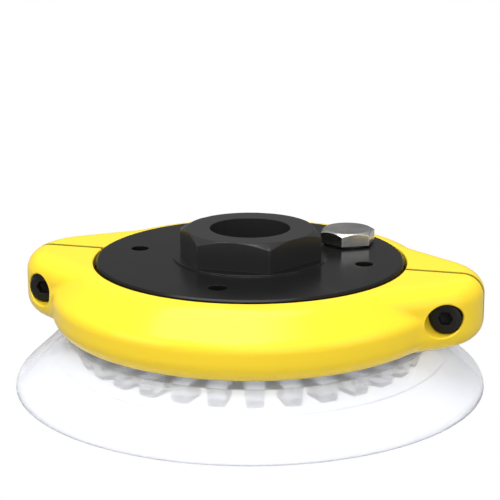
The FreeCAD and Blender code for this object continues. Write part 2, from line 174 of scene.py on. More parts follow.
def turned_rows(profile: np.ndarray, angles: np.ndarray) -> list[np.ndarray]:
    """Rings of points that a profile of radius and height makes about Z."""
    return [around(angles, radius, height) for radius, height in profile]


def stepped_rows(
    angles: np.ndarray, radius: np.ndarray | float, height: float, steps: Steps
) -> list[np.ndarray]:
    """Rings of points about Z at small steps, each wider and higher, from one radius and height."""
    return [around(angles, radius + wider, height + higher) for wider, higher in steps]


@dataclass(frozen=True)
class Hexagon:
    """A hexagon about Z with slightly rounded corners, turned down to a round crown at its top."""

    flats: float
    rounding: float
    turn: float = 0.0
    crown_inset: float = 0.0
    chamfer: float = math.radians(30)
    corner_spread: float = math.radians(0.9)
    corner_columns: int = 5

    def columns(self, per_side: int) -> np.ndarray:
        """Directions of columns round the hexagon, close together at its corners.

        Args:
            per_side: Columns along each side, between those at its corners.

        Returns:
            Rising angles, one per column.
        """
        close = np.linspace(-self.corner_spread, self.corner_spread, self.corner_columns)
        side = np.linspace(close[-1], SIXTH_TURN + close[0], per_side + 2)[1:-1]
        return self.turn + (full_turn(HEX_SIDES)[:, None] + np.concatenate((close, side))).ravel()

    def outline(self, angles: np.ndarray) -> np.ndarray:
        """Distance from the centre to the outline.

        Args:
            angles: Directions to measure in.

        Returns:
            The distance in each direction.
        """
        half = SIXTH_TURN / 2
        off = np.abs((angles - self.turn + half) % SIXTH_TURN - half)
        flat = self.flats / 2 / np.cos(half - off)
        centre = (self.flats / 2 - self.rounding) / math.cos(half)
        arc = centre * np.cos(off) + np.sqrt(np.maximum(self.rounding**2 - (centre * np.sin(off)) ** 2, 0))
        tangent = math.atan2(self.rounding / 2, centre + self.rounding * math.cos(half))
        return np.where(off < tangent, arc, flat)

    def crown_rows(self, angles: np.ndarray, top: float, steps: Steps) -> list[np.ndarray]:
        """Rings from the sides over the turned-down corners to the flat top.

        Args:
            angles: Directions of the columns.
            top: Height of the flat top.
            steps: For each ring, how far it lies inside the outline, how far past the flat top's edge it
                may reach, and how far it lies below the crown.

        Returns:
            The rings in order.
        """
        outline = self.outline(angles)
        edge = self.flats / 2 - self.crown_inset
        rows = []
        for inset, past, lower in steps:
            radius = np.minimum(outline - inset, edge + past)
            crown = top - np.maximum(radius - edge, 0) * math.tan(self.chamfer)
            rows.append(around(angles, radius, crown - lower))
        return rows


@dataclass(frozen=True)
class Thread:
    """A helical thread: its pitch, its depth, how finely it is drawn and the flats' shares of the pitch."""

    pitch: float
    depth: float
    rows_per_turn: int = 6
    root: float = 0.125
    crest: float = 0.25

    def rows(
        self, angles: np.ndarray, radius: float, start: float, end: float, inside: bool
    ) -> list[np.ndarray]:
        """Rings of a threaded wall about Z, plain at both ends.

        Args:
            angles: Directions of the columns.
            radius: The wall's plain radius, which the crests keep.
            start: Height of the first ring.
            end: Height of the last ring.
            inside: Whether the wall is a hole's, with roots that go outwards.

        Returns:
            The rings in order.
        """
        count = max(2, round(abs(end - start) / self.pitch * self.rows_per_turn))
        low, high = min(start, end), max(start, end)
        outward = 1 if inside else -1
        flank_end = (1 - self.crest) / 2
        flank = flank_end - self.root / 2
        rings = []
        for height in np.linspace(start, end, count + 1):
            phase = (height / self.pitch - angles / FULL_TURN) % 1.0
            valley = np.clip((flank_end - np.abs(phase - 0.5)) / flank, 0.0, 1.0)
            fade = min(1.0, (height - low) / self.pitch, (high - height) / self.pitch)
            rings.append(around(angles, radius + outward * self.depth * valley * fade, height))
        return rings


PORT_THREAD = Thread(pitch=1.814, depth=0.9, rows_per_turn=7)
SIDE_PORT_THREAD = Thread(pitch=0.907, depth=0.4)
TAP_THREAD = Thread(pitch=0.8, depth=0.35)
SCREW_THREAD = Thread(pitch=0.7, depth=0.3)


class Skin:
    """A closed surface drawn as rows of points that are joined one to the next."""

    def __init__(self) -> None:
        """Start with no points."""
        self.points: list[np.ndarray] = []
        self.faces: list[np.ndarray] = []
        self.plane_loops: list[Sequence[np.ndarray]] = []
        self.count = 0

    def row(self, points: np.ndarray) -> np.ndarray:
        """Add a row of points.

        Args:
            points: The points, one row each.

        Returns:
            The points' numbers.
        """
        numbers = np.arange(self.count, self.count + len(points))
        self.points.append(np.asarray(points, float))
        self.count += len(points)
        return numbers

    def join(self, first: np.ndarray, second: np.ndarray) -> None:
        """Join two closed rings of the same length with four-sided faces."""
        self.faces.append(np.column_stack((first, np.roll(first, -1), np.roll(second, -1), second)))

    def band(self, first: np.ndarray, second: np.ndarray, keep: np.ndarray) -> None:
        """Join two open rows of the same length, apart from the faces that aren't kept."""
        faces = np.column_stack((first[:-1], first[1:], second[1:], second[:-1]))
        self.faces.append(faces[keep])

    def chain(self, numbers: Sequence[np.ndarray]) -> None:
        """Join closed rings that are already there, each to the next."""
        for first, second in zip(numbers, numbers[1:]):
            self.join(first, second)

    def tube(self, rows: Sequence[np.ndarray], wrap: bool = False) -> list[np.ndarray]:
        """Add closed rings and join each to the next.

        Args:
            rows: Rings of points, all of one length.
            wrap: Whether the last ring joins the first.

        Returns:
            The numbers of each ring's points.
        """
        numbers = [self.row(points) for points in rows]
        self.chain(numbers)
        if wrap:
            self.join(numbers[-1], numbers[0])
        return numbers

    def plane(self, *loops: np.ndarray) -> None:
        """Fill the flat face between closed loops, the first one outside and the others holes in it."""
        self.plane_loops.append(loops)

    def mesh(self, name: str) -> bpy.types.Mesh:
        """Turn the skin into a mesh.

        Args:
            name: The mesh's name.

        Returns:
            The new mesh, in metres, with its faces turned outwards.
        """
        shape = bmesh.new()
        corners = [shape.verts.new(point) for point in np.concatenate(self.points) * MM]
        for face in np.concatenate(self.faces):
            shape.faces.new([corners[i] for i in face])
        for loops in self.plane_loops:
            edges = []
            for loop in loops:
                for a, b in zip(loop, np.roll(loop, -1)):
                    pair = (corners[a], corners[b])
                    edges.append(shape.edges.get(pair) or shape.edges.new(pair))
            bmesh.ops.triangle_fill(shape, use_beauty=True, use_dissolve=False, edges=edges)
        bmesh.ops.recalc_face_normals(shape, faces=shape.faces)
        mesh = bpy.data.meshes.new(name)
        shape.to_mesh(mesh)
        shape.free()
        return mesh

    def piece(self, name: str, material: bpy.types.Material) -> bpy.types.Object:
        """Turn the skin into an object of the scene.

        Args:
            name: The object's name.
            material: The material that covers it.

        Returns:
            The new object, smooth apart from its sharp edges.
        """
        mesh = self.mesh(name)
        mesh.materials.append(material)
        mesh.shade_smooth()
        mesh.set_sharp_from_angle(angle=SMOOTH_ANGLE)
        thing = bpy.data.objects.new(name, mesh)
        bpy.context.scene.collection.objects.link(thing)
        normals = thing.modifiers.new("even_normals", "WEIGHTED_NORMAL")
        normals.keep_sharp = True
        return thing


# Shared effects and finishes


class Board:
    """Short ways to add and link the nodes of one tree."""

    def __init__(self, tree: bpy.types.NodeTree) -> None:
        """Work on a tree."""
        self.tree = tree

    def add(self, kind: str, *links: Given, **settings: object) -> bpy.types.Node:
        """Add a node.

        Args:
            kind: The node's type, without its ShaderNode prefix.
            links: For each input in order, a socket to link, a value to set, or None to leave it.
            settings: Properties of the node.

        Returns:
            The new node.
        """
        node = self.tree.nodes.new(f"ShaderNode{kind}")
        for name, value in settings.items():
            setattr(node, name, value)
        for socket, given in zip(node.inputs, links):
            self.feed(socket, given)
        return node

    def feed(self, socket: bpy.types.NodeSocket, given: Given) -> None:
        """Feed a socket.

        Args:
            socket: The input to feed.
            given: An output to link to it, a value to set, or None to leave it.
        """
        if isinstance(given, bpy.types.NodeSocket):
            self.tree.links.new(given, socket)
        elif given is not None:
            socket.default_value = given

    def math(self, operation: str, *links: Given) -> bpy.types.NodeSocket:
        """Output of a math node."""
        return self.add("Math", *links, operation=operation).outputs[0]

    def spread(
        self, value: Given, low: Given, high: Given, to_low: Given, to_high: Given
    ) -> bpy.types.NodeSocket:
        """Output of a clamped map from one range to another."""
        return self.add("MapRange", value, low, high, to_low, to_high).outputs[0]

    def place_mm(self) -> bpy.types.NodeSocket:
        """Place on the object in millimetres."""
        here = self.add("TexCoord").outputs["Object"]
        return self.add("VectorMath", here, (1 / MM,) * 3, operation="MULTIPLY").outputs[0]

    def noise(self, size: Given, detail: float) -> bpy.types.NodeSocket:
        """Noise whose patches are about as wide as a size in millimetres."""
        scale = self.math("DIVIDE", 1.0, size)
        return self.add("TexNoise", self.place_mm(), None, scale, detail).outputs[0]


class Effects:
    """Node groups that several finishes share, each built once."""

    SOCKET = "NodeSocketFloat"
    # Ranges that most of a noise's values lie in
    NOISE_SPAN = (0.35, 0.65)
    PATCH_SPAN = (0.4, 0.6)
    # Pointiness of a flat face, and where an edge begins to count
    FLAT = 0.5
    EDGE_START = 0.51
    # What a patch leaves of the wear at least
    THINNEST = 0.4
    # How fast and how unevenly the tone changes from one tool ring to the next
    TONE_SCALE = 0.37
    TONE_DETAIL = 2.0

    def __init__(self) -> None:
        """Build every group."""
        self.grain = self.build("moulded_grain", {"Grain Size": 0.4}, ("Height",), self.draw_grain)
        patches = {"Patch Size": 8.0, "Low": 0.3, "High": 0.4}
        self.mottle = self.build("soft_mottle", patches, ("Value",), self.draw_mottle)
        self.wear = self.build("edge_wear", {"Reach": 0.06, "Patch Size": 2.0}, ("Mask",), self.draw_wear)
        rings = {"Pitch": 0.3, "Centre X": 0.0, "Centre Y": 0.0}
        self.lines = self.build("turned_lines", rings, ("Height", "Tone"), self.draw_lines)
        self.level = self.build("level_mask", {"Low": 0.0, "High": 1.0}, ("Mask",), self.draw_level)

    def build(
        self,
        name: str,
        inputs: dict[str, float],
        outputs: Sequence[str],
        draw: Callable[[Board, Outputs], Sockets],
    ) -> bpy.types.NodeTree:
        """Make one group.

        Args:
            name: The group's name.
            inputs: Its inputs and their first values.
            outputs: Its outputs.
            draw: Function that draws the nodes and gives the sockets for the outputs.

        Returns:
            The group's tree.
        """
        tree = bpy.data.node_groups.new(name, "ShaderNodeTree")
        for label, value in inputs.items():
            socket = tree.interface.new_socket(label, in_out="INPUT", socket_type=self.SOCKET)
            socket.default_value = value
        for label in outputs:
            tree.interface.new_socket(label, in_out="OUTPUT", socket_type=self.SOCKET)
        given = tree.nodes.new("NodeGroupInput").outputs
        result = tree.nodes.new("NodeGroupOutput").inputs
        for socket, made in zip(result, draw(Board(tree), given)):
            tree.links.new(made, socket)
        return tree

    def draw_grain(self, board: Board, given: Outputs) -> Sockets:
        """Fine moulded grain."""
        return (board.noise(given["Grain Size"], detail=3.0),)

    def draw_mottle(self, board: Board, given: Outputs) -> Sockets:
        """Broad soft patches between two values."""
        patches = board.noise(given["Patch Size"], detail=2.0)
        return (board.spread(patches, *self.NOISE_SPAN, given["Low"], given["High"]),)

    def draw_wear(self, board: Board, given: Outputs) -> Sockets:
        """Outer edges, broken up by patches.

        Args:
            board: Where to draw.
            given: The group's inputs.

        Returns:
            The mask.
        """
        edge = board.add("NewGeometry").outputs["Pointiness"]
        limit = board.math("ADD", given["Reach"], self.FLAT)
        sharp = board.spread(edge, self.EDGE_START, limit, 0.0, 1.0)
        patches = board.noise(given["Patch Size"], detail=4.0)
        kept = board.spread(patches, *self.PATCH_SPAN, self.THINNEST, 1.0)
        return (board.math("MULTIPLY", sharp, kept),)

    def draw_lines(self, board: Board, given: Outputs) -> Sockets:
        """Rings left by a turning tool.

        Args:
            board: Where to draw.
            given: The group's inputs.

        Returns:
            The rings' height and a slow change of tone across them.
        """
        parts = board.add("SeparateXYZ", board.place_mm()).outputs
        across = board.math("SUBTRACT", parts["X"], given["Centre X"])
        along = board.math("SUBTRACT", parts["Y"], given["Centre Y"])
        squares = board.math("ADD", board.math("POWER", across, 2.0), board.math("POWER", along, 2.0))
        rings = board.math("DIVIDE", board.math("SQRT", squares), given["Pitch"])
        wave = board.math("SINE", board.math("MULTIPLY", rings, FULL_TURN))
        height = board.spread(wave, -1.0, 1.0, 0.0, 1.0)
        tone = board.add("TexNoise", None, rings, self.TONE_SCALE, self.TONE_DETAIL, noise_dimensions="1D")
        return height, tone.outputs[0]

    def draw_level(self, board: Board, given: Outputs) -> Sockets:
        """Mask that comes on between two heights."""
        height = board.add("SeparateXYZ", board.place_mm()).outputs["Z"]
        return (board.spread(height, given["Low"], given["High"], 0.0, 1.0),)


class Coat(Board):
    """The nodes of one material, round its shader."""

    # A Mix node's colour sockets, which share their names with its other kinds
    MIX_FROM = 6
    MIX_TO = 7
    MIX_RESULT = 2

    def __init__(self, name: str) -> None:
        """Make a material with a plain shader.

        Args:
            name: The material's name.
        """
        self.material = bpy.data.materials.new(name)
        self.material.use_nodes = True
        super().__init__(self.material.node_tree)
        self.shader = self.tree.nodes["Principled BSDF"]

    def set(self, name: str, value: Sequence[float] | float) -> None:
        """Set one of the shader's inputs."""
        self.shader.inputs[name].default_value = value

    def effect(self, group: bpy.types.NodeTree, *values: float) -> Outputs:
        """Place a shared effect.

        Args:
            group: The effect's node group.
            values: This material's values for its inputs, in order.

        Returns:
            The effect's outputs.
        """
        node = self.add("Group", node_tree=group)
        for socket, value in zip(node.inputs, values):
            socket.default_value = value
        return node.outputs

    def bump(self, height: bpy.types.NodeSocket, depth: float, strength: float) -> None:
        """Give the surface a shallow relief.

        Args:
            height: The relief, from 0 to 1.
            depth: Its depth in millimetres.
            strength: How much of it shows.
        """
        node = self.add("Bump")
        node.inputs["Strength"].default_value = strength
        node.inputs["Distance"].default_value = depth * MM
        self.feed(node.inputs["Height"], height)
        self.feed(self.shader.inputs["Normal"], node.outputs[0])

    def tint(self, mask: bpy.types.NodeSocket, other: Colour) -> None:
        """Change the colour towards another one.

        Args:
            mask: How far it changes, from 0 to 1.
            other: The other colour.
        """
        base = self.shader.inputs["Base Color"]
        plain = base.links[0].from_socket if base.is_linked else base.default_value
        mix = self.add("Mix", data_type="RGBA")
        self.feed(mix.inputs["Factor"], mask)
        self.feed(mix.inputs[self.MIX_FROM], plain)
        self.feed(mix.inputs[self.MIX_TO], other)
        self.feed(base, mix.outputs[self.MIX_RESULT])


@dataclass(frozen=True)
class Finish:
    """What every finish has: a slot, a colour, a range of roughness and a strength of reflection."""

    slot: str
    colour: Colour
    smooth: float
    rough: float
    patch: float = 8.0
    specular: float = 0.5

    def material(self, effects: Effects) -> bpy.types.Material:
        """Make the material.

        Args:
            effects: The shared node groups.

        Returns:
            The new material.
        """
        coat = Coat(self.slot)
        coat.set("Base Color", self.colour)
        coat.set("Specular IOR Level", self.specular)
        roughness = coat.effect(effects.mottle, self.patch, self.smooth, self.rough)["Value"]
        coat.feed(coat.shader.inputs["Roughness"], roughness)
        self.detail(coat, effects)
        return coat.material

    def detail(self, coat: Coat, effects: Effects) -> None:
        """Add what only this kind of finish has."""
        raise NotImplementedError


@dataclass(frozen=True)
class Moulded(Finish):
    """Moulded plastic or rubber with a fine grain, paler edges and painted shade in and beside the gap at a
    parting plane.
    """

    grain: float = 0.5
    depth: float = 0.02
    strength: float = 0.3
    edge: Colour = WHITE
    edge_reach: float = 0.08
    edge_patch: float = 3.0
    paler: float = 0.2
    gap_shade_reach: float = 0.0
    gap_shade: Colour = BLACK

    def detail(self, coat: Coat, effects: Effects) -> None:
        """Add the grain, the edges and the painted shade of the gap at the parting plane.

        Args:
            coat: The material's nodes.
            effects: The shared node groups.
        """
        coat.bump(coat.effect(effects.grain, self.grain)["Height"], self.depth, self.strength)
        edges = coat.effect(effects.wear, self.edge_reach, self.edge_patch)["Mask"]
        coat.tint(coat.math("MULTIPLY", edges, self.paler), self.edge)
        # Painted shade: the split faces and a thin band beside them are darkened, standing in for the shade
        # inside the gap between the clamp halves.
        if self.gap_shade_reach:
            along = coat.add("SeparateXYZ", coat.place_mm()).outputs["Y"]
            in_gap_shade = coat.math("LESS_THAN", coat.math("ABSOLUTE", along), self.gap_shade_reach)
            coat.tint(in_gap_shade, self.gap_shade)


@dataclass(frozen=True)
class Metal(Finish):
    """Turned metal with tool rings, worn edges and, above some height, a lighter painted tone that stands in
    for brighter reflection.
    """

    metallic: float = 1.0
    pitch: float = 0.25
    centre: tuple[float, float] = (0.0, 0.0)
    depth: float = 0.004
    strength: float = 0.25
    ring_tone: float = 0.04
    edge: Colour = (0.3, 0.3, 0.3, 1.0)
    edge_reach: float = 0.05
    edge_patch: float = 1.5
    worn: float = 0.3
    painted_light_tone: Colour = BLACK
    painted_light_from: float = 0.0
    painted_light_blend: float = 0.1

    def detail(self, coat: Coat, effects: Effects) -> None:
        """Add the rings, the painted lighter tone above some height and the edges.

        Args:
            coat: The material's nodes.
            effects: The shared node groups.
        """
        coat.set("Metallic", self.metallic)
        rings = coat.effect(effects.lines, self.pitch, *self.centre)
        coat.bump(rings["Height"], self.depth, self.strength)
        # Painted light: faces above this height, the hexagon, collar top and port, get a lighter colour that
        # stands in for their brighter reflection.
        if self.painted_light_from:
            above = coat.effect(effects.level, self.painted_light_from, self.painted_light_from + self.painted_light_blend)
            coat.tint(above["Mask"], self.painted_light_tone)
        edges = coat.effect(effects.wear, self.edge_reach, self.edge_patch)["Mask"]
        tone = coat.math("MULTIPLY", rings["Tone"], self.ring_tone)
        coat.tint(coat.math("MULTIPLY_ADD", edges, self.worn, tone), self.edge)


@dataclass(frozen=True)
class Silicone(Finish):
    """Clear silicone with a faint grain, which above some height, at its neck, turns duller and takes a
    painted darker shade for the shadow under the clamp ring.
    """

    ior: float = 1.1
    clear: float = 0.75
    grain: float = 0.8
    depth: float = 0.01
    strength: float = 0.15
    neck_shade: Colour = WHITE
    neck_shade_span: tuple[float, float] = (13.0, 14.0)
    neck_rough: float = 0.5

    def detail(self, coat: Coat, effects: Effects) -> None:
        """Add the clearness, the grain, and at the neck the painted shade and the duller surface.

        Args:
            coat: The material's nodes.
            effects: The shared node groups.
        """
        coat.set("Transmission Weight", self.clear)
        coat.set("IOR", self.ior)
        coat.bump(coat.effect(effects.grain, self.grain)["Height"], self.depth, self.strength)
        # Painted shade: a darker bluish colour above some height, standing in for the shadow under the clamp
        # ring; the roughness there rises too.
        neck_shade = coat.effect(effects.level, *self.neck_shade_span)["Mask"]
        coat.tint(neck_shade, self.neck_shade)
        roughness = coat.shader.inputs["Roughness"]
        plain = roughness.links[0].from_socket
        coat.feed(roughness, coat.math("MULTIPLY_ADD", neck_shade, self.neck_rough, plain))


YELLOW_PLASTIC = Moulded(
    "yellow_plastic",
    colour=(0.93, 0.66, 0.032, 1),
    smooth=0.18,
    rough=0.24,
    specular=0.22,
    edge=(1.0, 0.85, 0.2, 1),
    # Painted shade: a dark olive colour in and beside the split gap, for the shade between the halves.
    gap_shade_reach=0.8,
    gap_shade=(0.36, 0.3, 0.008, 1),
)
BLACK_RUBBER = Moulded(
    "black_rubber",
    colour=(0.015, 0.015, 0.015, 1),
    smooth=0.6,
    rough=0.75,
    edge=(0.05, 0.05, 0.05, 1),
)
BLACK_ALUMINIUM = Metal(
    "black_aluminium",
    colour=(0.007, 0.007, 0.007, 1),
    smooth=0.2,
    rough=0.25,
    specular=0.18,
    metallic=0.0,
    edge=(0.05, 0.05, 0.05, 1),
    worn=0.1,
    # Painted light: the hexagon and collar are lighter than the plate's face, standing in for their brighter
    # reflection.
    painted_light_tone=(0.02, 0.02, 0.02, 1),
    painted_light_from=PLATE_FACE + COLLAR_HEIGHT,
)
BLACK_STEEL = Metal(
    "black_steel",
    colour=(0.014, 0.014, 0.014, 1),
    smooth=0.5,
    rough=0.6,
    specular=0.15,
    metallic=0.0,
    depth=0.0,
    edge=(0.03, 0.03, 0.03, 1),
)
PLAIN_STEEL = Metal(
    "plain_steel",
    colour=(0.55, 0.55, 0.56, 1),
    smooth=0.25,
    rough=0.4,
    edge=(0.8, 0.8, 0.8, 1),
)
NICKEL_BRASS = Metal(
    "nickel_brass",
    colour=(0.68, 0.67, 0.65, 1),
    smooth=0.2,
    rough=0.3,
    pitch=0.2,
    centre=tuple(node_middle("port_plug")[:2]),
    edge=(0.9, 0.9, 0.88, 1),
)
CLEAR_SILICONE = Silicone(
    "clear_silicone",
    colour=(0.935, 0.95, 0.995, 1),
    smooth=0.05,
    rough=0.09,
    ior=1.27,
    clear=0.68,
    # Painted shade under the clamp ring, at the cup's neck.
    neck_shade=(0.48, 0.52, 0.62, 1),
    neck_shade_span=(12.2, 13.4),
    neck_rough=0.6,
)


class Wardrobe:
    """The materials of the finishes, each made once, and the dressing of the pieces."""

    def __init__(self) -> None:
        """Build the shared effects."""
        self.effects = Effects()
        self.materials: dict[str, bpy.types.Material] = {}

    def dress(self, skin: Skin, name: str, node: str, finish: Finish) -> bpy.types.Object:
        """Turn a skin into a piece that stands for a CAD node and rides on the body.

        Args:
            skin: The piece's skin.
            name: The piece's name.
            node: The CAD node that it stands for.
            finish: Its finish, which names its slot.

        Returns:
            The dressed piece.
        """
        if finish.slot not in self.materials:
            self.materials[finish.slot] = finish.material(self.effects)
        thing = skin.piece(name, self.materials[finish.slot])
        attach(thing, BODY)
        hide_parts(node)
        return thing


# Pieces


@dataclass
class SuctionCup:
    """Moulded cup: thin conical lip, cleated ceiling, and a neck and bead inside the clamp.

    A cleat's edge is drawn by places inwards from its side, each with its share of the cleat's drop.
    """

    lip: float = 56.0
    lip_land: float = 0.8
    land_round: float = 0.15
    lip_arris: float = 0.03
    lip_edge: float = 1.4
    lip_round: float = 3.0
    step: float = 45.6
    step_height: float = 0.2
    shoulder: float = 42.4
    neck: float = NECK
    bead: float = BEAD
    bead_round: float = 0.5
    bore: float = SPIGOT + FIT_GAP
    mouth: float = 32.6
    chamber: float = 40.2
    ceiling: float = 10.5
    ceiling_round: float = 0.25
    ceiling_lead: float = 0.26
    seat: float = 14.1
    seat_round: float = 0.3
    ledge: float = LEDGE
    ledge_round: float = 0.4
    cleats: int = 30
    cleat_turn: float = math.radians(10.6)
    cleat_width: float = 4.0
    cleat_drop: float = 4.2
    cleat_inset: float = 0.4
    cleat_rows: int = 3
    cleat_edge: Steps = (
        (-0.55, 0.0),
        (-0.3, 0.015),
        (-0.12, 0.05),
        (-0.04, 0.11),
        (0.0, 0.5),
        (0.04, 0.88),
        (0.1, 0.94),
        (0.2, 0.975),
        (0.38, 0.995),
        (0.62, 1.0),
    )
    longest_run: float = 4.5
    finish: Finish = CLEAR_SILICONE

    def lateral_offsets(self) -> np.ndarray:
        """Distances of a cleat's columns from its middle line.

        Returns:
            The distances across the cleat, rising from one side to the other.
        """
        inward = np.array(self.cleat_edge)[:, 0]
        half = np.sort(self.cleat_width / 2 - inward)
        return np.concatenate((-half[::-1], (0.0,), half))

    def column_angles(self, radius: float) -> np.ndarray:
        """Angles of all columns on a ring, which follow the cleats' parallel sides.

        Args:
            radius: The ring's radius.

        Returns:
            The angles, each cleat's columns and one column midway to the next cleat.
        """
        reach = min(max(radius, self.mouth), self.chamber)
        near = np.arcsin(self.lateral_offsets() / reach)
        pitch = FULL_TURN / self.cleats
        one = np.concatenate((near, (pitch / 2,)))
        return (self.cleat_turn + full_turn(self.cleats)[:, None] + one).ravel()

    def rings(self, profile: np.ndarray) -> list[np.ndarray]:
        """Rings of a profile of radius and height, with the cleats' columns."""
        return [around(self.column_angles(radius), radius, height) for radius, height in profile]

    def ceiling_rows(self) -> list[np.ndarray]:
        """Rings across the ceiling, lowered where the cleats hang.

        Returns:
            The rings from the mouth to the cone.
        """
        inward, share = np.array(self.cleat_edge).T
        inner = self.mouth + self.cleat_inset
        outer = self.chamber - self.cleat_inset
        ends = inward[inward > self.ceiling_round - self.cleat_inset]
        middle = np.linspace(inner + ends[-1], outer - ends[-1], self.cleat_rows + 2)[1:-1]
        radii = np.concatenate((inner + ends, middle, (outer - ends)[::-1]))
        across = np.abs(np.tile((*self.lateral_offsets(), self.cleat_width), self.cleats))
        side = np.interp(self.cleat_width / 2 - across, inward, share)
        rows = []
        for radius in radii:
            end = np.interp(min(radius - inner, outer - radius), inward, share)
            level = self.ceiling - self.cleat_drop * np.minimum(side, end)
            rows.append(around(self.column_angles(radius), radius, level))
        return rows

    def inside(self, radius: float) -> float:
        """Height of the lip's conical inside at a radius."""
        foot = self.lip - self.lip_land
        return self.ceiling * (foot - radius) / (foot - self.chamber)

    def with_runs_split(self, profile: np.ndarray) -> np.ndarray:
        """Add points along a profile's long straight runs.

        Args:
            profile: The profile's points.

        Returns:
            The points with those between them.
        """
        points = [profile[0]]
        for here, there in zip(profile, profile[1:]):
            count = max(1, math.ceil(np.linalg.norm(there - here) / self.longest_run))
            points += [here + (there - here) * k / count for k in range(1, count + 1)]
        return np.array(points)

    def build(self) -> Skin:
        """Draw the cup once round its section.

        Returns:
            The cup's skin.
        """
        top = node_span("suction_cup", 2)[1]
        mouth_edge = rounded(
            [
                (self.mouth, self.seat, 0.0),
                (self.mouth, self.ceiling, self.ceiling_round),
                (self.mouth + self.ceiling_lead, self.ceiling, 0.0),
            ]
        )[1:]
        outside = rounded(
            [
                (self.chamber - self.ceiling_lead, self.ceiling, 0.0),
                (self.chamber, self.ceiling, self.ceiling_round),
                (self.step, self.inside(self.step) - self.step_height, 0.0),
                (self.step, self.inside(self.step), 0.0),
                (self.lip - self.lip_land, 0.0, self.land_round),
                (self.lip, 0.0, self.lip_arris),
                (self.lip, self.lip_edge, self.lip_round),
                (self.shoulder, self.seat, self.seat_round),
                (self.neck, self.seat, self.ledge_round),
                (self.neck, self.ledge, self.ledge_round),
                (self.bead, self.ledge, self.ledge_round),
                (self.bead, top, self.bead_round),
                (self.bore, top, self.bead_round),
                (self.bore, self.seat, self.ledge_round),
                (self.mouth, self.seat, self.seat_round),
                (self.mouth, self.ceiling, 0.0),
            ]
        )[:-1]
        skin = Skin()
        rows = self.rings(mouth_edge) + self.ceiling_rows() + self.rings(self.with_runs_split(outside))
        skin.tube(rows, wrap=True)
        return skin

    def dress(self, wardrobe: Wardrobe) -> list[bpy.types.Object]:
        """Build the cup and dress it."""
        return [wardrobe.dress(self.build(), "silicone_cup", "suction_cup", self.finish)]


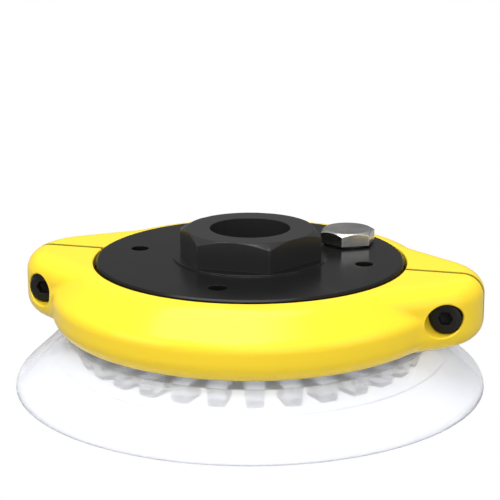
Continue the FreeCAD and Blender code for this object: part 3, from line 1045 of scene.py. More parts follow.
@dataclass
class FittingPlate:
    """Turned plate with a flange, a spigot, a milled hexagon, the vacuum port and tapped holes.

    Steps are small changes of radius and height along an edge; the crown's are the hexagon's own.
    """

    plate: float = 36.4
    plate_edge: float = 0.4
    fine_round: float = 0.12
    flange: float = FLANGE
    flange_bottom: float = 23.0
    flange_rim: float = FLANGE_RIM
    flange_top: float = 26.8
    flange_round: float = 0.3
    spigot: float = SPIGOT
    spigot_edge: float = 0.8
    spigot_round: float = 0.2
    face: float = PLATE_FACE
    collar: float = 18.3
    collar_height: float = COLLAR_HEIGHT
    collar_round: float = 0.2
    hexagon: Hexagon = Hexagon(flats=30.0, rounding=0.08)
    foot_steps: Steps = ((0.12, 0.0), (0.04, 0.03), (0.0, 0.12))
    crown_steps: Steps = (
        (0.0, math.inf, 0.14),
        (0.04, math.inf, 0.05),
        (0.14, math.inf, 0.0),
        (0.3, 0.1, 0.0),
        (0.4, -0.05, 0.0),
        (0.4, -1.0, 0.0),
    )
    port: float = 9.5
    port_round: float = 0.15
    port_entry: float = 5.5
    port_end_steps: Steps = ((0.1, 0.1), (0.4, 0.0))
    bolt_circle: float = 27.5
    taps: int = 4
    tap: float = 2.1
    tap_depth: float = 9.0
    hole_entry: float = 2.5
    hole_steps: Steps = ((0.5, 0.0), (0.1, 0.0), (0.04, -0.02), (0.0, -0.1))
    side_port: float = SIDE_PORT
    lead: float = 0.5
    columns_per_side: int = 27
    hole_columns: int = 32
    finish: Finish = BLACK_ALUMINIUM

    def outside_rows(self, angles: np.ndarray, bottom: float) -> list[np.ndarray]:
        """Rings from the spigot's end over the flange to the plate's face.

        Args:
            angles: Directions of the columns.
            bottom: Height of the spigot's end.

        Returns:
            The rings in order.
        """
        spigot_end = self.spigot - self.spigot_edge
        face_end = self.plate - self.plate_edge
        corners = [
            (spigot_end - self.lead, bottom, 0.0),
            (spigot_end, bottom, self.spigot_round),
            (self.spigot, bottom + self.spigot_edge, self.spigot_round),
            (self.spigot, self.flange_bottom, self.spigot_round),
            (self.flange, self.flange_bottom, self.flange_round),
            (self.flange, self.flange_rim, self.flange_round),
            (self.plate, self.flange_top, self.flange_round),
            (self.plate, self.face - self.plate_edge, self.fine_round),
            (face_end, self.face, self.fine_round),
            (face_end - self.lead, self.face, 0.0),
        ]
        return turned_rows(rounded(corners), angles)

    def hexagon_rows(self, angles: np.ndarray, top: float) -> list[np.ndarray]:
        """Rings from the plate's face up the collar and the hexagon and over its crown.

        Args:
            angles: Directions of the columns.
            top: Height of the hexagon's flat top.

        Returns:
            The rings in order.
        """
        foot = self.face + self.collar_height
        collar = [
            (self.collar + self.lead, self.face, 0.0),
            (self.collar, self.face, self.fine_round),
            (self.collar, foot, self.collar_round),
            (self.collar - self.lead, foot, 0.0),
        ]
        outline = self.hexagon.outline(angles)
        crown = self.hexagon.crown_rows(angles, top, self.crown_steps)
        rows = turned_rows(rounded(collar), angles)
        rows += stepped_rows(angles, outline, foot, self.foot_steps)
        rows.append(around(angles, outline, (foot + crown[0][:, 2]) / 2))
        return rows + crown

    def port_rows(self, angles: np.ndarray, top: float, bottom: float) -> list[np.ndarray]:
        """Rings from the port's mouth down its thread to its lower end.

        Args:
            angles: Directions of the columns.
            top: Height of the port's mouth.
            bottom: Height of its lower end.

        Returns:
            The rings in order.
        """
        mouth = [
            (self.port + self.lead, top, 0.0),
            (self.port, top, self.port_round),
            (self.port, top - self.lead, 0.0),
        ]
        rows = turned_rows(rounded(mouth), angles)
        rows += PORT_THREAD.rows(angles, self.port, top - self.port_entry, bottom + self.lead, inside=True)
        return rows + stepped_rows(angles, self.port, bottom, self.port_end_steps)

    def hole(
        self, skin: Skin, centre: Sequence[float], radius: float, floor: float, thread: Thread
    ) -> tuple[np.ndarray, np.ndarray]:
        """Sink a threaded hole with a bevelled mouth into the plate's face.

        Args:
            skin: The plate's skin.
            centre: The hole's place on the face.
            radius: Radius of the plain wall.
            floor: Height of its lower end.
            thread: The thread cut in it.

        Returns:
            The numbers of the first and the last ring.
        """
        angles = full_turn(self.hole_columns)
        rows = stepped_rows(angles, radius, self.face, self.hole_steps)
        rows += thread.rows(angles, radius, self.face - self.hole_entry, floor, inside=True)
        shift = np.array((*centre, 0.0))
        rings = skin.tube([points + shift for points in rows])
        return rings[0], rings[-1]

    def build(self) -> Skin:
        """Draw the plate with its port and its holes.

        Returns:
            The plate's skin.
        """
        bottom, top = node_span("fitting_plate", 2)
        angles = self.hexagon.columns(self.columns_per_side)
        skin = Skin()
        outer = skin.tube(self.outside_rows(angles, bottom))
        inner = skin.tube(self.hexagon_rows(angles, top) + self.port_rows(angles, top, bottom))
        mouths = []
        for turn in full_turn(self.taps):
            centre = (self.bolt_circle * math.cos(turn), self.bolt_circle * math.sin(turn))
            mouth, end = self.hole(skin, centre, self.tap, self.face - self.tap_depth, TAP_THREAD)
            mouths.append(mouth)
            skin.plane(end)
        centre = node_middle("plug_seal")[:2]
        mouth, end = self.hole(skin, centre, self.side_port, bottom, SIDE_PORT_THREAD)
        skin.plane(outer[-1], inner[0], *mouths, mouth)
        skin.plane(outer[0], inner[-1], end)
        return skin

    def dress(self, wardrobe: Wardrobe) -> list[bpy.types.Object]:
        """Build the plate and dress it."""
        return [wardrobe.dress(self.build(), "port_plate", "fitting_plate", self.finish)]


@dataclass
class ClampRing:
    """Split clamp ring: a coned ring on a lug whose round ends are the ears, hollowed for cup and plate.

    The lug's flanks are straight, and touch both the ear's round end and the ring's upper rim. A half is a
    grid of rows, up the outside and down the inside, and of columns from one split face to the other. On
    each ear a patch of the grid gives way to rings that lead into the screw's bore.
    """

    wall: float = 47.0
    cone_foot: float = 22.4
    rim: float = 39.95
    shoulder_round: float = 3.5
    edge_round: float = 5.0
    base_round: float = 4.6
    profile_step: float = math.radians(0.5)
    ear: float = 16.2
    ear_blend: float = 9.0
    opening: float = 37.1
    opening_edge: float = 0.4
    flank_top: float = 26.78
    flank_round: float = 0.25
    flange: float = FLANGE
    flange_rim: float = FLANGE_RIM + FIT_GAP
    flange_round: float = 0.1
    groove: float = BEAD + BEAD_GAP
    groove_round: float = 0.3
    neck: float = NECK + BEAD_GAP
    ledge: float = LEDGE - FIT_GAP
    split_gap: float = 1.0
    split_round: float = 0.12
    split_turns: tuple[float, ...] = (30.0, 60.0, 90.0)
    screw_reach: float = SCREW_REACH
    screw_hole: float = 2.25
    hole_bevel: float = 0.1
    seat: float = SCREW_SEAT
    seat_edge: float = 0.15
    seat_insets: tuple[float, ...] = (0.12, 0.6)
    counterbore: float = 3.8
    pocket: Hexagon = Hexagon(flats=7.3, rounding=0.3, turn=math.radians(30))
    rim_round: float = 0.35
    rim_turns: tuple[float, ...] = (25.0, 50.0, 75.0, 90.0)
    patch_start: float = 9.0
    patch_end: float = 24.6
    patch_levels: tuple[float, float] = (16.2, 27.6)
    patch_shares: tuple[float, ...] = (0.85, 0.7, 0.55, 0.4, 0.25, 0.1, 0.0)
    flank_end: float = 44.0
    column_counts: tuple[int, ...] = (10, 20, 16, 30)
    base_rows: int = 10
    wall_rows: int = 11
    edge_rows: int = 13
    top_shares: tuple[float, ...] = (0.25, 0.5, 0.75)
    bottom_shares: tuple[float, ...] = (0.67, 0.33)
    finish: Finish = YELLOW_PLASTIC
    bottom: float = field(init=False)
    top: float = field(init=False)
    screw_height: float = field(init=False)
    ear_centre: float = field(init=False)
    lean: float = field(init=False)
    profile: np.ndarray = field(init=False)

    def __post_init__(self) -> None:
        """Take the ring's height and the ear's place from the frame and work out the fine profile."""
        self.bottom, self.top = node_span("clamp_half_front", 2)
        self.screw_height = node_middle("clamp_screws")[2]
        self.ear_centre = node_span("clamp_half_front", 0)[1] - self.ear
        self.lean = math.acos((self.rim - self.ear) / self.ear_centre)
        corners = [
            (self.opening, self.bottom, 0.0),
            (self.wall, self.bottom, self.base_round),
            (self.wall, self.cone_foot, self.shoulder_round),
            (self.rim, self.top, self.edge_round),
            (self.opening, self.top, 0.0),
        ]
        self.profile = rounded(corners, step=self.profile_step)[1:-1]

    def levels(self) -> np.ndarray:
        """Heights of the rows up the outside, closest together on the rounds.

        Returns:
            The rising heights.
        """
        base = np.radians(np.linspace(0, 90, self.base_rows))
        edge = np.radians(np.linspace(0, 90, self.edge_rows))
        low = self.bottom + self.base_round * (1 - np.cos(base))
        high = self.top - self.edge_round * (1 - np.sin(edge))
        between = np.linspace(low[-1], high[0], self.wall_rows + 2)[1:-1]
        return np.concatenate((low, between, high))

    def columns(self) -> np.ndarray:
        """Directions of the columns over half a turn, closest together at the ears.

        Returns:
            The rising angles.
        """
        stops = (0.0, self.patch_start, self.patch_end, self.flank_end, 90.0)
        spans = zip(stops, stops[1:], self.column_counts)
        quarter = np.concatenate([np.linspace(*span, endpoint=False) for span in spans])
        return np.radians(np.concatenate((quarter, (90.0,), 180 - quarter[::-1])))

    def inset(self, height: np.ndarray | float) -> np.ndarray:
        """How far the rounds at the base and the top edge draw an upright wall in.

        Args:
            height: Heights on the wall.

        Returns:
            The distance at each height.
        """
        base = np.maximum(self.bottom + self.base_round - height, 0)
        edge = np.maximum(height - self.top + self.edge_round, 0)
        drawn = self.base_round - np.sqrt(np.maximum(self.base_round**2 - base**2, 0))
        return drawn + self.edge_round - np.sqrt(np.maximum(self.edge_round**2 - edge**2, 0))

    def slice_at(self, height: np.ndarray | float) -> tuple[np.ndarray, ...]:
        """Circles and flank that make up the ring's outline at some heights.

        Args:
            height: Heights of the slices.

        Returns:
            Radius of the ring and of the ear, the flank's distance from the axis, the radius of the
            hollow between flank and ring, and the hollow's place along the flank.
        """
        ring = np.interp(height, self.profile[:, 1], self.profile[:, 0])
        drawn = self.inset(height)
        flank = self.rim - drawn
        hollow = self.ear_blend + drawn
        along = np.sqrt(np.maximum((ring + hollow) ** 2 - (flank + hollow) ** 2, 0))
        return ring, self.ear - drawn, flank, hollow, along

    def reach(self, angles: np.ndarray, height: float) -> np.ndarray:
        """Distance from the axis to the outline at a height.

        Args:
            angles: Directions, measured from the right ear's middle.
            height: Height of the outline.

        Returns:
            The distance in each direction.
        """
        ring, ear, flank, hollow, along = self.slice_at(height)
        fold = np.minimum(angles, math.pi - angles)
        out = self.ear_centre * np.cos(fold)
        on_ear = out + np.sqrt(np.maximum(ear**2 - (self.ear_centre * np.sin(fold)) ** 2, 0))
        on_flank = flank / np.cos(fold - self.lean)
        ring_limit = self.lean - np.arctan2(along, flank + hollow)
        towards = (ring + hollow) * np.cos(fold - ring_limit)
        on_hollow = towards - np.sqrt(np.maximum(hollow**2 - (ring + hollow) ** 2 + towards**2, 0))
        ear_limit = np.arctan2(ear * math.sin(self.lean), self.ear_centre + ear * math.cos(self.lean))
        flank_limit = self.lean - np.arctan2(along, flank)
        places = (fold <= ear_limit, fold <= flank_limit, fold < ring_limit)
        return np.select(places, (on_ear, on_flank, on_hollow), ring)

    def depth(self, across: np.ndarray, height: np.ndarray) -> np.ndarray:
        """Distance of the outline from the split plane.

        Args:
            across: Places across the ear, measured from the axis.
            height: The places' heights.

        Returns:
            The distance at each place.
        """
        ring, ear, flank, hollow, along = self.slice_at(height)
        sine, cosine = math.sin(self.lean), math.cos(self.lean)
        centre_x = (flank + hollow) * cosine + along * sine
        centre_y = (flank + hollow) * sine - along * cosine
        on_ear = np.sqrt(np.maximum(ear**2 - (across - self.ear_centre) ** 2, 0))
        on_flank = (flank - across * cosine) / sine
        on_hollow = centre_y - np.sqrt(np.maximum(hollow**2 - (across - centre_x) ** 2, 0))
        on_ring = np.sqrt(np.maximum(ring**2 - across**2, 0))
        ear_limit = self.ear_centre + ear * cosine
        flank_limit = flank * cosine + along * sine
        ring_limit = ring * centre_x / (ring + hollow)
        places = (across >= ear_limit, across >= flank_limit, across > ring_limit)
        return np.select(places, (on_ear, on_flank, on_hollow), on_ring)

    def row(self, turns: np.ndarray, level: float, inner: float = 0.0, share: float = 0.0) -> np.ndarray:
        """One row from end to end of a half, up to the rounded edges of its split faces.

        Args:
            turns: The columns' directions, from one split face to the other.
            level: Height of the row.
            inner: Radius that the row leans towards.
            share: How far it is from the outline, at 0, to that radius, at 1.

        Returns:
            The row's points.
        """

        def radius(angles: np.ndarray) -> np.ndarray:
            """Distance from the axis to the row."""
            outline = self.reach(angles, level)
            return outline + (inner - outline) * share

        end = math.asin((self.split_gap / 2 + self.split_round) / radius(np.zeros(1))[0])
        angles = end + turns / math.pi * (math.pi - 2 * end)
        return around(angles, radius(angles), level)

    def sections(self) -> np.ndarray:
        """Grid of the half ring, once round its section.

        Returns:
            Points by row and column, with Y positive.
        """
        turns = self.columns()
        inner = rounded(
            [
                (self.rim, self.top, 0.0),
                (self.opening, self.top, self.opening_edge),
                (self.opening, self.flank_top, self.flank_round),
                (self.flange, self.flange_rim, self.flange_round),
                (self.groove, self.flange_rim, self.groove_round),
                (self.groove, self.ledge, self.groove_round),
                (self.neck, self.ledge, self.groove_round),
                (self.neck, self.bottom, self.groove_round),
                (self.wall, self.bottom, 0.0),
            ]
        )[1:-1]
        rows = [self.row(turns, level) for level in self.levels()]
        rows += [self.row(turns, self.top, inner[0, 0], share) for share in self.top_shares]
        rows += [self.row(turns, level, radius, share=1.0) for radius, level in inner]
        rows += [self.row(turns, self.bottom, inner[-1, 0], share) for share in self.bottom_shares]
        return np.stack(rows)

    def with_split_edges(self, grid: np.ndarray) -> np.ndarray:
        """Add the rounded edges of both split faces as further columns.

        Args:
            grid: Points of the half by row and column.

        Returns:
            The wider grid.
        """
        for last in (0, -1):
            loop = grid[:, last, :]
            flat = loop[:, (0, 2)]
            along = np.roll(flat, -1, axis=0) - np.roll(flat, 1, axis=0)
            normal = np.column_stack((along[:, 1], -along[:, 0]))
            normal /= np.linalg.norm(normal, axis=1)[:, None]
            area = np.sum(flat[:, 0] * np.roll(flat[:, 1], -1) - np.roll(flat[:, 0], -1) * flat[:, 1])
            normal *= np.sign(area)
            added = []
            for turn in np.radians(self.split_turns):
                column = loop.copy()
                column[:, (0, 2)] -= normal * self.split_round * (1 - math.cos(turn))
                column[:, 1] = self.split_gap / 2 + self.split_round * (1 - math.sin(turn))
                added.append(column[:, None, :])
            grid = np.concatenate((*added[::-1], grid) if last == 0 else (grid, *added), axis=1)
        return grid

    def patch(self, ear: Ear) -> tuple[slice, slice]:
        """Patch of the grid that gives way to a screw's bore.

        Args:
            ear: Which ear it is on.

        Returns:
            The patch's rows and columns of points, each from its first to its last.
        """
        levels = self.levels()
        turns = np.degrees(self.columns())
        sides = (self.patch_start, self.patch_end)
        if ear is Ear.LEFT:
            sides = (180 - self.patch_end, 180 - self.patch_start)
        rows = slice(*(nearest(levels, level) for level in self.patch_levels))
        columns = slice(*(nearest(turns, side) + len(self.split_turns) for side in sides))
        return rows, columns

    def patch_border(self, rows: slice, columns: slice) -> tuple[np.ndarray, np.ndarray]:
        """Points round a patch's border.

        Args:
            rows: The patch's rows.
            columns: The patch's columns.

        Returns:
            The row and the column of each point, in order.
        """
        border = [(rows.start, j) for j in range(columns.start, columns.stop)]
        border += [(i, columns.stop) for i in range(rows.start, rows.stop)]
        border += [(rows.stop, j) for j in range(columns.stop, columns.start, -1)]
        border += [(i, columns.start) for i in range(rows.stop, rows.start, -1)]
        along, across = np.array(border).T
        return along, across

    def at_screw(self, ear: Ear, offsets: np.ndarray, depth: np.ndarray | float) -> np.ndarray:
        """Points about a screw's axis.

        Args:
            ear: Which ear the screw is in.
            offsets: The points' places from the axis, outwards and up.
            depth: Their distance from the split plane.

        Returns:
            The points, with Y positive.
        """
        across = (self.screw_reach + offsets[:, 0]) * ear.value
        level = self.screw_height + offsets[:, 1]
        return np.column_stack((across, np.broadcast_to(depth, across.shape), level))

    def face_depth(self, offsets: np.ndarray) -> np.ndarray:
        """Distance of the ear's face from the split plane, at places about the screw's axis."""
        return self.depth(self.screw_reach + offsets[:, 0], self.screw_height + offsets[:, 1])

    def bore_rows(self, side: Side, ear: Ear, border: np.ndarray) -> list[np.ndarray]:
        """Rings from a patch's border into the screw's bore and through its hole to the split face.

        Args:
            side: Which half it is.
            ear: Which ear it is on.
            border: Points of the border, with Y positive.

        Returns:
            The rings in order, with Y positive.
        """
        outwards = border[:, 0] * ear.value - self.screw_reach
        upwards = border[:, 2] - self.screw_height
        flat = np.column_stack((outwards, upwards))
        turns = np.arctan2(upwards, outwards)
        outline = np.full_like(turns, self.counterbore)
        if side is Side.REAR:
            for corner in full_turn(HEX_SIDES) - math.pi + self.pocket.turn:
                turns[nearest(turns, corner)] = corner
            outline = self.pocket.outline(turns)
        aim = np.column_stack((np.cos(turns), np.sin(turns)))
        mouth = aim * (outline + self.rim_round)[:, None]
        rows = []
        for share in self.patch_shares:
            offsets = mouth + (flat - mouth) * share
            rows.append(self.at_screw(ear, offsets, self.face_depth(offsets)))
        for turn in np.radians(self.rim_turns):
            offsets = aim * (outline + self.rim_round * (1 - math.sin(turn)))[:, None]
            sunk = self.rim_round * (1 - math.cos(turn))
            rows.append(self.at_screw(ear, offsets, self.face_depth(mouth) - sunk))
        brim = rows[-1][:, 1]
        foot = self.seat + self.seat_edge
        for depth in ((brim + foot) / 2, foot):
            rows.append(self.at_screw(ear, aim * outline[:, None], depth))
        for inset in self.seat_insets:
            rows.append(self.at_screw(ear, aim * (outline - inset)[:, None], self.seat))
        split = self.split_gap / 2
        bevel = self.hole_bevel
        steps = ((bevel, self.seat), (0.0, self.seat - bevel), (0.0, split + bevel), (bevel, split))
        for wider, depth in steps:
            rows.append(self.at_screw(ear, aim * (self.screw_hole + wider), depth))
        return rows

    def build(self, side: Side) -> Skin:
        """Draw one half.

        Args:
            side: Which half to draw.

        Returns:
            The half's skin.
        """
        grid = self.with_split_edges(self.sections())
        skin = Skin()
        numbers = np.stack([skin.row(side.turned(points)) for points in grid])
        keep = np.ones((len(grid), grid.shape[1] - 1), bool)
        for ear in Ear:
            keep[self.patch(ear)] = False
        for first, second, kept in zip(numbers, np.roll(numbers, -1, axis=0), keep):
            skin.band(first, second, kept)
        for ear, split_face in zip(Ear, (numbers[:, 0], numbers[:, -1])):
            border = self.patch_border(*self.patch(ear))
            rings = [skin.row(side.turned(points)) for points in self.bore_rows(side, ear, grid[border])]
            skin.chain([numbers[border], *rings])
            skin.plane(split_face, rings[-1])
        return skin

    def dress(self, wardrobe: Wardrobe) -> list[bpy.types.Object]:
        """Build both halves and dress them.

        Args:
            wardrobe: Where the finishes come from.

        Returns:
            The dressed halves.
        """
        front = wardrobe.dress(self.build(Side.FRONT), "front_clamp_half", "clamp_half_front", self.finish)
        rear = wardrobe.dress(self.build(Side.REAR), "rear_clamp_half", "clamp_half_rear", self.finish)
        return [front, rear]


@dataclass
class ClampFasteners:
    """The clamp's two socket-head screws and the nuts that they draw on.

    Each is drawn standing on its seat. Steps are small changes of radius and height along an edge.
    """

    reach: float = SCREW_REACH
    seat: float = SCREW_SEAT
    shank: float = 2.0
    length: float = 20.0
    tip_steps: Steps = ((-0.6, 0.0), (-0.1, 0.5))
    thread_start: float = 0.6
    thread_end: float = 0.8
    neck_steps: Steps = ((0.0, -0.25), (0.2, 0.0))
    head: float = 3.5
    head_height: float = 4.0
    head_edge: float = 0.35
    crown_steps: Steps = ((0.0, -0.75), (0.0, -0.4), (-0.1, -0.15), (-0.35, 0.0), (-0.9, 0.0))
    knurls: int = 36
    knurl_height: float = 0.07
    knurl_floor: float = -0.3
    knurl_inset: float = 0.1
    knurl_levels: tuple[float, ...] = (0.25, 1.2, 2.2, 3.1)
    socket: Hexagon = Hexagon(flats=3.0, rounding=0.1)
    socket_steps: Steps = ((0.25, 0.0), (0.15, 0.0), (0.0, -0.12), (0.0, -1.0), (0.0, -2.0))
    drill: float = 0.4
    drill_depth: float = 2.5
    screw_columns: int = 19
    nut: Hexagon = Hexagon(flats=7.0, rounding=0.15, turn=math.radians(30))
    nut_height: float = 3.2
    nut_steps: Steps = ((0.0, math.inf, 0.08), (0.08, math.inf, 0.0), (0.15, -0.1, 0.0))
    nut_bore: float = 2.1
    bore_steps: Steps = ((0.5, 0.0), (0.35, -0.05))
    bore_entry: float = 0.35
    nut_columns: int = 9
    screw_finish: Finish = BLACK_STEEL
    nut_finish: Finish = PLAIN_STEEL
    height: float = field(init=False)

    def __post_init__(self) -> None:
        """Take the height of the screws' axes from the frame."""
        self.height = node_middle("clamp_screws")[2]

    def lay(self, points: np.ndarray, side: Side, ear: Ear) -> np.ndarray:
        """Lay points drawn about Z on a screw's axis.

        Args:
            points: The points, with Z running outwards from the seat.
            side: The half whose seat they stand on.
            ear: Which ear it is in.

        Returns:
            The points in their place.
        """
        across = (self.reach + points[:, 0]) * ear.value
        return np.column_stack((across, side.value * (self.seat + points[:, 2]), self.height + points[:, 1]))

    def screw_rows(self) -> list[np.ndarray]:
        """Rings of a screw from its tip to its socket's floor.

        Returns:
            The rings in order.
        """
        angles = self.socket.columns(self.screw_columns)
        top = self.head_height
        knurl = self.knurl_height * np.maximum(np.sin(angles * self.knurls), self.knurl_floor)
        grip = self.head - self.knurl_inset + knurl
        thread_span = (self.thread_start - self.length, -self.thread_end)
        rows = stepped_rows(angles, self.shank, -self.length, self.tip_steps)
        rows += SCREW_THREAD.rows(angles, self.shank, *thread_span, inside=False)
        rows += stepped_rows(angles, self.shank, 0.0, self.neck_steps)
        rows.append(around(angles, self.head - self.head_edge, 0.0))
        rows += [around(angles, grip, level) for level in self.knurl_levels]
        rows += stepped_rows(angles, self.head, top, self.crown_steps)
        rows += stepped_rows(angles, self.socket.outline(angles), top, self.socket_steps)
        rows.append(around(angles, self.drill, top - self.drill_depth))
        return rows

    def nut_rows(self) -> list[np.ndarray]:
        """Rings of a nut, once round its section.

        Returns:
            The rings in order.
        """
        angles = self.nut.columns(self.nut_columns)
        top = self.nut_height
        upper = self.nut.crown_rows(angles, top, self.nut_steps)
        upper += stepped_rows(angles, self.nut_bore, top, self.bore_steps)
        lower = [points * (1, 1, -1) + (0, 0, top) for points in upper]
        entries = (top - self.bore_entry, self.bore_entry)
        thread = SCREW_THREAD.rows(angles, self.nut_bore, *entries, inside=True)
        return upper + thread + lower[::-1]

    def build_screws(self) -> Skin:
        """Draw both screws.

        Returns:
            The screws' skin.
        """
        skin = Skin()
        for ear in Ear:
            rings = skin.tube([self.lay(points, Side.FRONT, ear) for points in self.screw_rows()])
            skin.plane(rings[0])
            skin.plane(rings[-1])
        return skin

    def build_nuts(self) -> Skin:
        """Draw both nuts.

        Returns:
            The nuts' skin.
        """
        skin = Skin()
        for ear in Ear:
            skin.tube([self.lay(points, Side.REAR, ear) for points in self.nut_rows()], wrap=True)
        return skin

    def dress(self, wardrobe: Wardrobe) -> list[bpy.types.Object]:
        """Build the screws and the nuts and dress them.

        Args:
            wardrobe: Where the finishes come from.

        Returns:
            The dressed screws and nuts.
        """
        screws = wardrobe.dress(self.build_screws(), "socket_screws", "clamp_screws", self.screw_finish)
        nuts = wardrobe.dress(self.build_nuts(), "hexagon_nuts", "clamp_nuts", self.nut_finish)
        return [screws, nuts]


@dataclass
class SidePlug:
    """Hexagon-head plug in the side port, with its sealing washer.

    Heights start at the plate's face. Steps are small changes of radius and height along an edge.
    """

    hexagon: Hexagon = Hexagon(flats=12.0, rounding=0.15, turn=math.radians(30), crown_inset=0.3)
    head: float = 3.2
    crown_steps: Steps = (
        (0.0, math.inf, 0.1),
        (0.03, math.inf, 0.03),
        (0.1, math.inf, 0.0),
        (0.2, 0.06, 0.0),
        (0.3, -0.05, 0.0),
        (0.3, -0.8, 0.0),
        (0.3, -3.0, 0.0),
    )
    foot_steps: Steps = ((-0.12, 0.0), (0.0, 0.12))
    shank: float = 4.3
    length: float = 8.0
    tip_steps: Steps = ((-0.8, 0.0), (-0.1, 0.7))
    neck_steps: Steps = ((0.0, -0.1), (0.1, 0.0))
    thread_start: float = 0.8
    thread_end: float = 0.6
    plug_columns: int = 15
    seal: float = 5.7
    seal_thickness: float = 0.5
    seal_round: float = 0.18
    seal_hole: float = SIDE_PORT
    hole_round: float = 0.08
    seal_columns: int = 72
    plug_finish: Finish = NICKEL_BRASS
    seal_finish: Finish = BLACK_RUBBER
    centre: np.ndarray = field(init=False)

    def __post_init__(self) -> None:
        """Take the place of the washer's foot from the frame."""
        self.centre = np.array((*node_middle("plug_seal")[:2], node_span("plug_seal", 2)[0]))

    def build_plug(self) -> Skin:
        """Draw the plug from its tip to the top of its head.

        Returns:
            The plug's skin.
        """
        angles = self.hexagon.columns(self.plug_columns)
        low = self.seal_thickness
        thread_span = (self.thread_start - self.length, -self.thread_end)
        rows = stepped_rows(angles, self.shank, -self.length, self.tip_steps)
        rows += SIDE_PORT_THREAD.rows(angles, self.shank, *thread_span, inside=False)
        rows += stepped_rows(angles, self.shank, low, self.neck_steps)
        rows += stepped_rows(angles, self.hexagon.outline(angles), low, self.foot_steps)
        rows += self.hexagon.crown_rows(angles, low + self.head, self.crown_steps)
        skin = Skin()
        rings = skin.tube([points + self.centre for points in rows])
        skin.plane(rings[0])
        skin.plane(rings[-1])
        return skin

    def build_seal(self) -> Skin:
        """Draw the washer once round its section.

        Returns:
            The washer's skin.
        """
        corners = [
            (self.seal_hole, 0.0, self.hole_round),
            (self.seal, 0.0, self.seal_round),
            (self.seal, self.seal_thickness, self.seal_round),
            (self.seal_hole, self.seal_thickness, self.hole_round),
        ]
        rows = turned_rows(rounded(corners, closed=True), full_turn(self.seal_columns))
        skin = Skin()
        skin.tube([points + self.centre for points in rows], wrap=True)
        return skin

    def dress(self, wardrobe: Wardrobe) -> list[bpy.types.Object]:
        """Build the plug and its washer and dress them.

        Args:
            wardrobe: Where the finishes come from.

        Returns:
            The dressed plug and washer.
        """
        plug = wardrobe.dress(self.build_plug(), "side_plug", "port_plug", self.plug_finish)
        seal = wardrobe.dress(self.build_seal(), "plug_washer", "plug_seal", self.seal_finish)
        return [plug, seal]


# Surroundings


def stand_facing(thing: bpy.types.Object, stand: Place, target: Place) -> None:
    """Stand a camera or a light at a place and turn it to a target.

    Args:
        thing: The camera or the light.
        stand: Where it stands.
        target: What it faces.
    """
    thing.location = Vector(stand) * MM
    look = (Vector(target) - Vector(stand)).normalized()
    thing.rotation_euler = look.to_track_quat("-Z", "Y").to_euler()
    bpy.context.scene.collection.objects.link(thing)


@dataclass(frozen=True)
class Softbox:
    """A square soft light: its name, place, width and power in watts."""

    name: str
    place: Place
    width: float
    watts: float

    def hang(self, target: Place) -> None:
        """Hang the softbox in its place.

        Args:
            target: What it faces.
        """
        lamp = bpy.data.lights.new(self.name, "AREA")
        lamp.size = self.width * MM
        lamp.energy = self.watts
        stand_facing(bpy.data.objects.new(self.name, lamp), self.place, target)


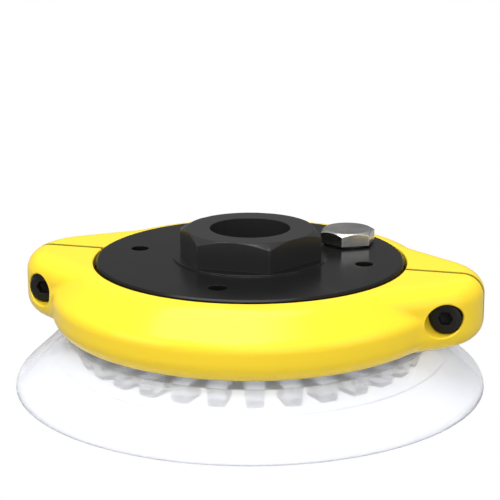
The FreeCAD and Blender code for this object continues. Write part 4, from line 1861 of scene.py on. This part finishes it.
@dataclass
class Studio:
    """White background, pale floor, soft lights and the camera."""

    target: Place = (0.0, 0.0, 31.5)
    stand: Place = (92.9, -346.7, 127.9)
    lens: float = 112.9
    floor_reach: float = 3000.0
    floor_drop: float = 0.2
    floor_tone: Colour = (0.3, 0.3, 0.3, 1.0)
    floor_rough: float = 0.8
    sky_power: float = 0.6
    sky_stops: tuple[tuple[float, Colour], ...] = ((0.3, (0.34, 0.34, 0.35, 1.0)), (1.0, WHITE))
    softboxes: tuple[Softbox, ...] = (
        Softbox("top_softbox", (-60, -120, 700), width=600, watts=6.0),
        Softbox("front_softbox", (275, -605, 320), width=600, watts=1.7),
        Softbox("left_softbox", (-480, -420, 300), width=400, watts=1.1),
        Softbox("right_softbox", (560, -160, 260), width=400, watts=0.7),
    )

    def build(self) -> None:
        """Set up everything round the object."""
        bpy.context.scene.view_settings.view_transform = "Standard"
        self.aim_camera()
        self.lay_floor()
        self.light_world()
        for softbox in self.softboxes:
            softbox.hang(self.target)

    def aim_camera(self) -> None:
        """Stand the camera where the photograph was taken from."""
        lens = bpy.data.cameras.new("camera")
        lens.lens = self.lens
        camera = bpy.data.objects.new("camera", lens)
        stand_facing(camera, self.stand, self.target)
        bpy.context.scene.camera = camera

    def seen_directly(self, board: Board) -> bpy.types.NodeSocket:
        """One for rays from the camera, also through the clear cup."""
        rays = board.add("LightPath").outputs
        return board.math("MAXIMUM", rays["Is Camera Ray"], rays["Is Transmission Ray"])

    def lay_floor(self) -> None:
        """Lay a wide pale floor at the sealing plane, open to views from below."""
        coat = Coat("pale_floor")
        coat.set("Base Color", self.floor_tone)
        coat.set("Roughness", self.floor_rough)
        glow = coat.add("Emission", WHITE, 1.0)
        bright = coat.add("MixShader", self.seen_directly(coat), coat.shader.outputs[0], glow.outputs[0])
        below = coat.add("NewGeometry").outputs["Backfacing"]
        clear = coat.add("BsdfTransparent")
        either = coat.add("MixShader", below, bright.outputs[0], clear.outputs[0])
        coat.feed(coat.tree.nodes["Material Output"].inputs["Surface"], either.outputs[0])
        reach = self.floor_reach * MM
        level = -self.floor_drop * MM
        signs = ((-1, -1), (1, -1), (1, 1), (-1, 1))
        corners = [(across * reach, along * reach, level) for across, along in signs]
        mesh = bpy.data.meshes.new("floor")
        mesh.from_pydata(corners, [], [range(len(corners))])
        mesh.materials.append(coat.material)
        floor = bpy.data.objects.new("floor", mesh)
        bpy.context.scene.collection.objects.link(floor)

    def light_world(self) -> None:
        """Set white behind the object, and a soft sky, brightest overhead, for light and reflections."""
        world = bpy.data.worlds.new("soft_sky")
        world.use_nodes = True
        world.node_tree.nodes.clear()
        board = Board(world.node_tree)
        height = board.add("SeparateXYZ", board.add("TexCoord").outputs["Generated"]).outputs["Z"]
        ramp = board.add("ValToRGB", height)
        for stop, (position, colour) in zip(ramp.color_ramp.elements, self.sky_stops):
            stop.position = position
            stop.color = colour
        sky = board.add("Background", ramp.outputs[0], self.sky_power)
        white = board.add("Background", WHITE, 1.0)
        mix = board.add("MixShader", self.seen_directly(board), sky.outputs[0], white.outputs[0])
        board.add("OutputWorld", mix.outputs[0])
        bpy.context.scene.world = world


def main() -> None:
    """Build the studio and every sub-assembly in order, and report each piece."""
    logging.basicConfig(level=logging.INFO, format="%(message)s")
    Studio().build()
    wardrobe = Wardrobe()
    for assembly in (SuctionCup(), FittingPlate(), ClampRing(), ClampFasteners(), SidePlug()):
        for thing in assembly.dress(wardrobe):
            log.info("%s: %d faces", thing.name, len(thing.data.polygons))


if __name__ == "__main__":
    main()
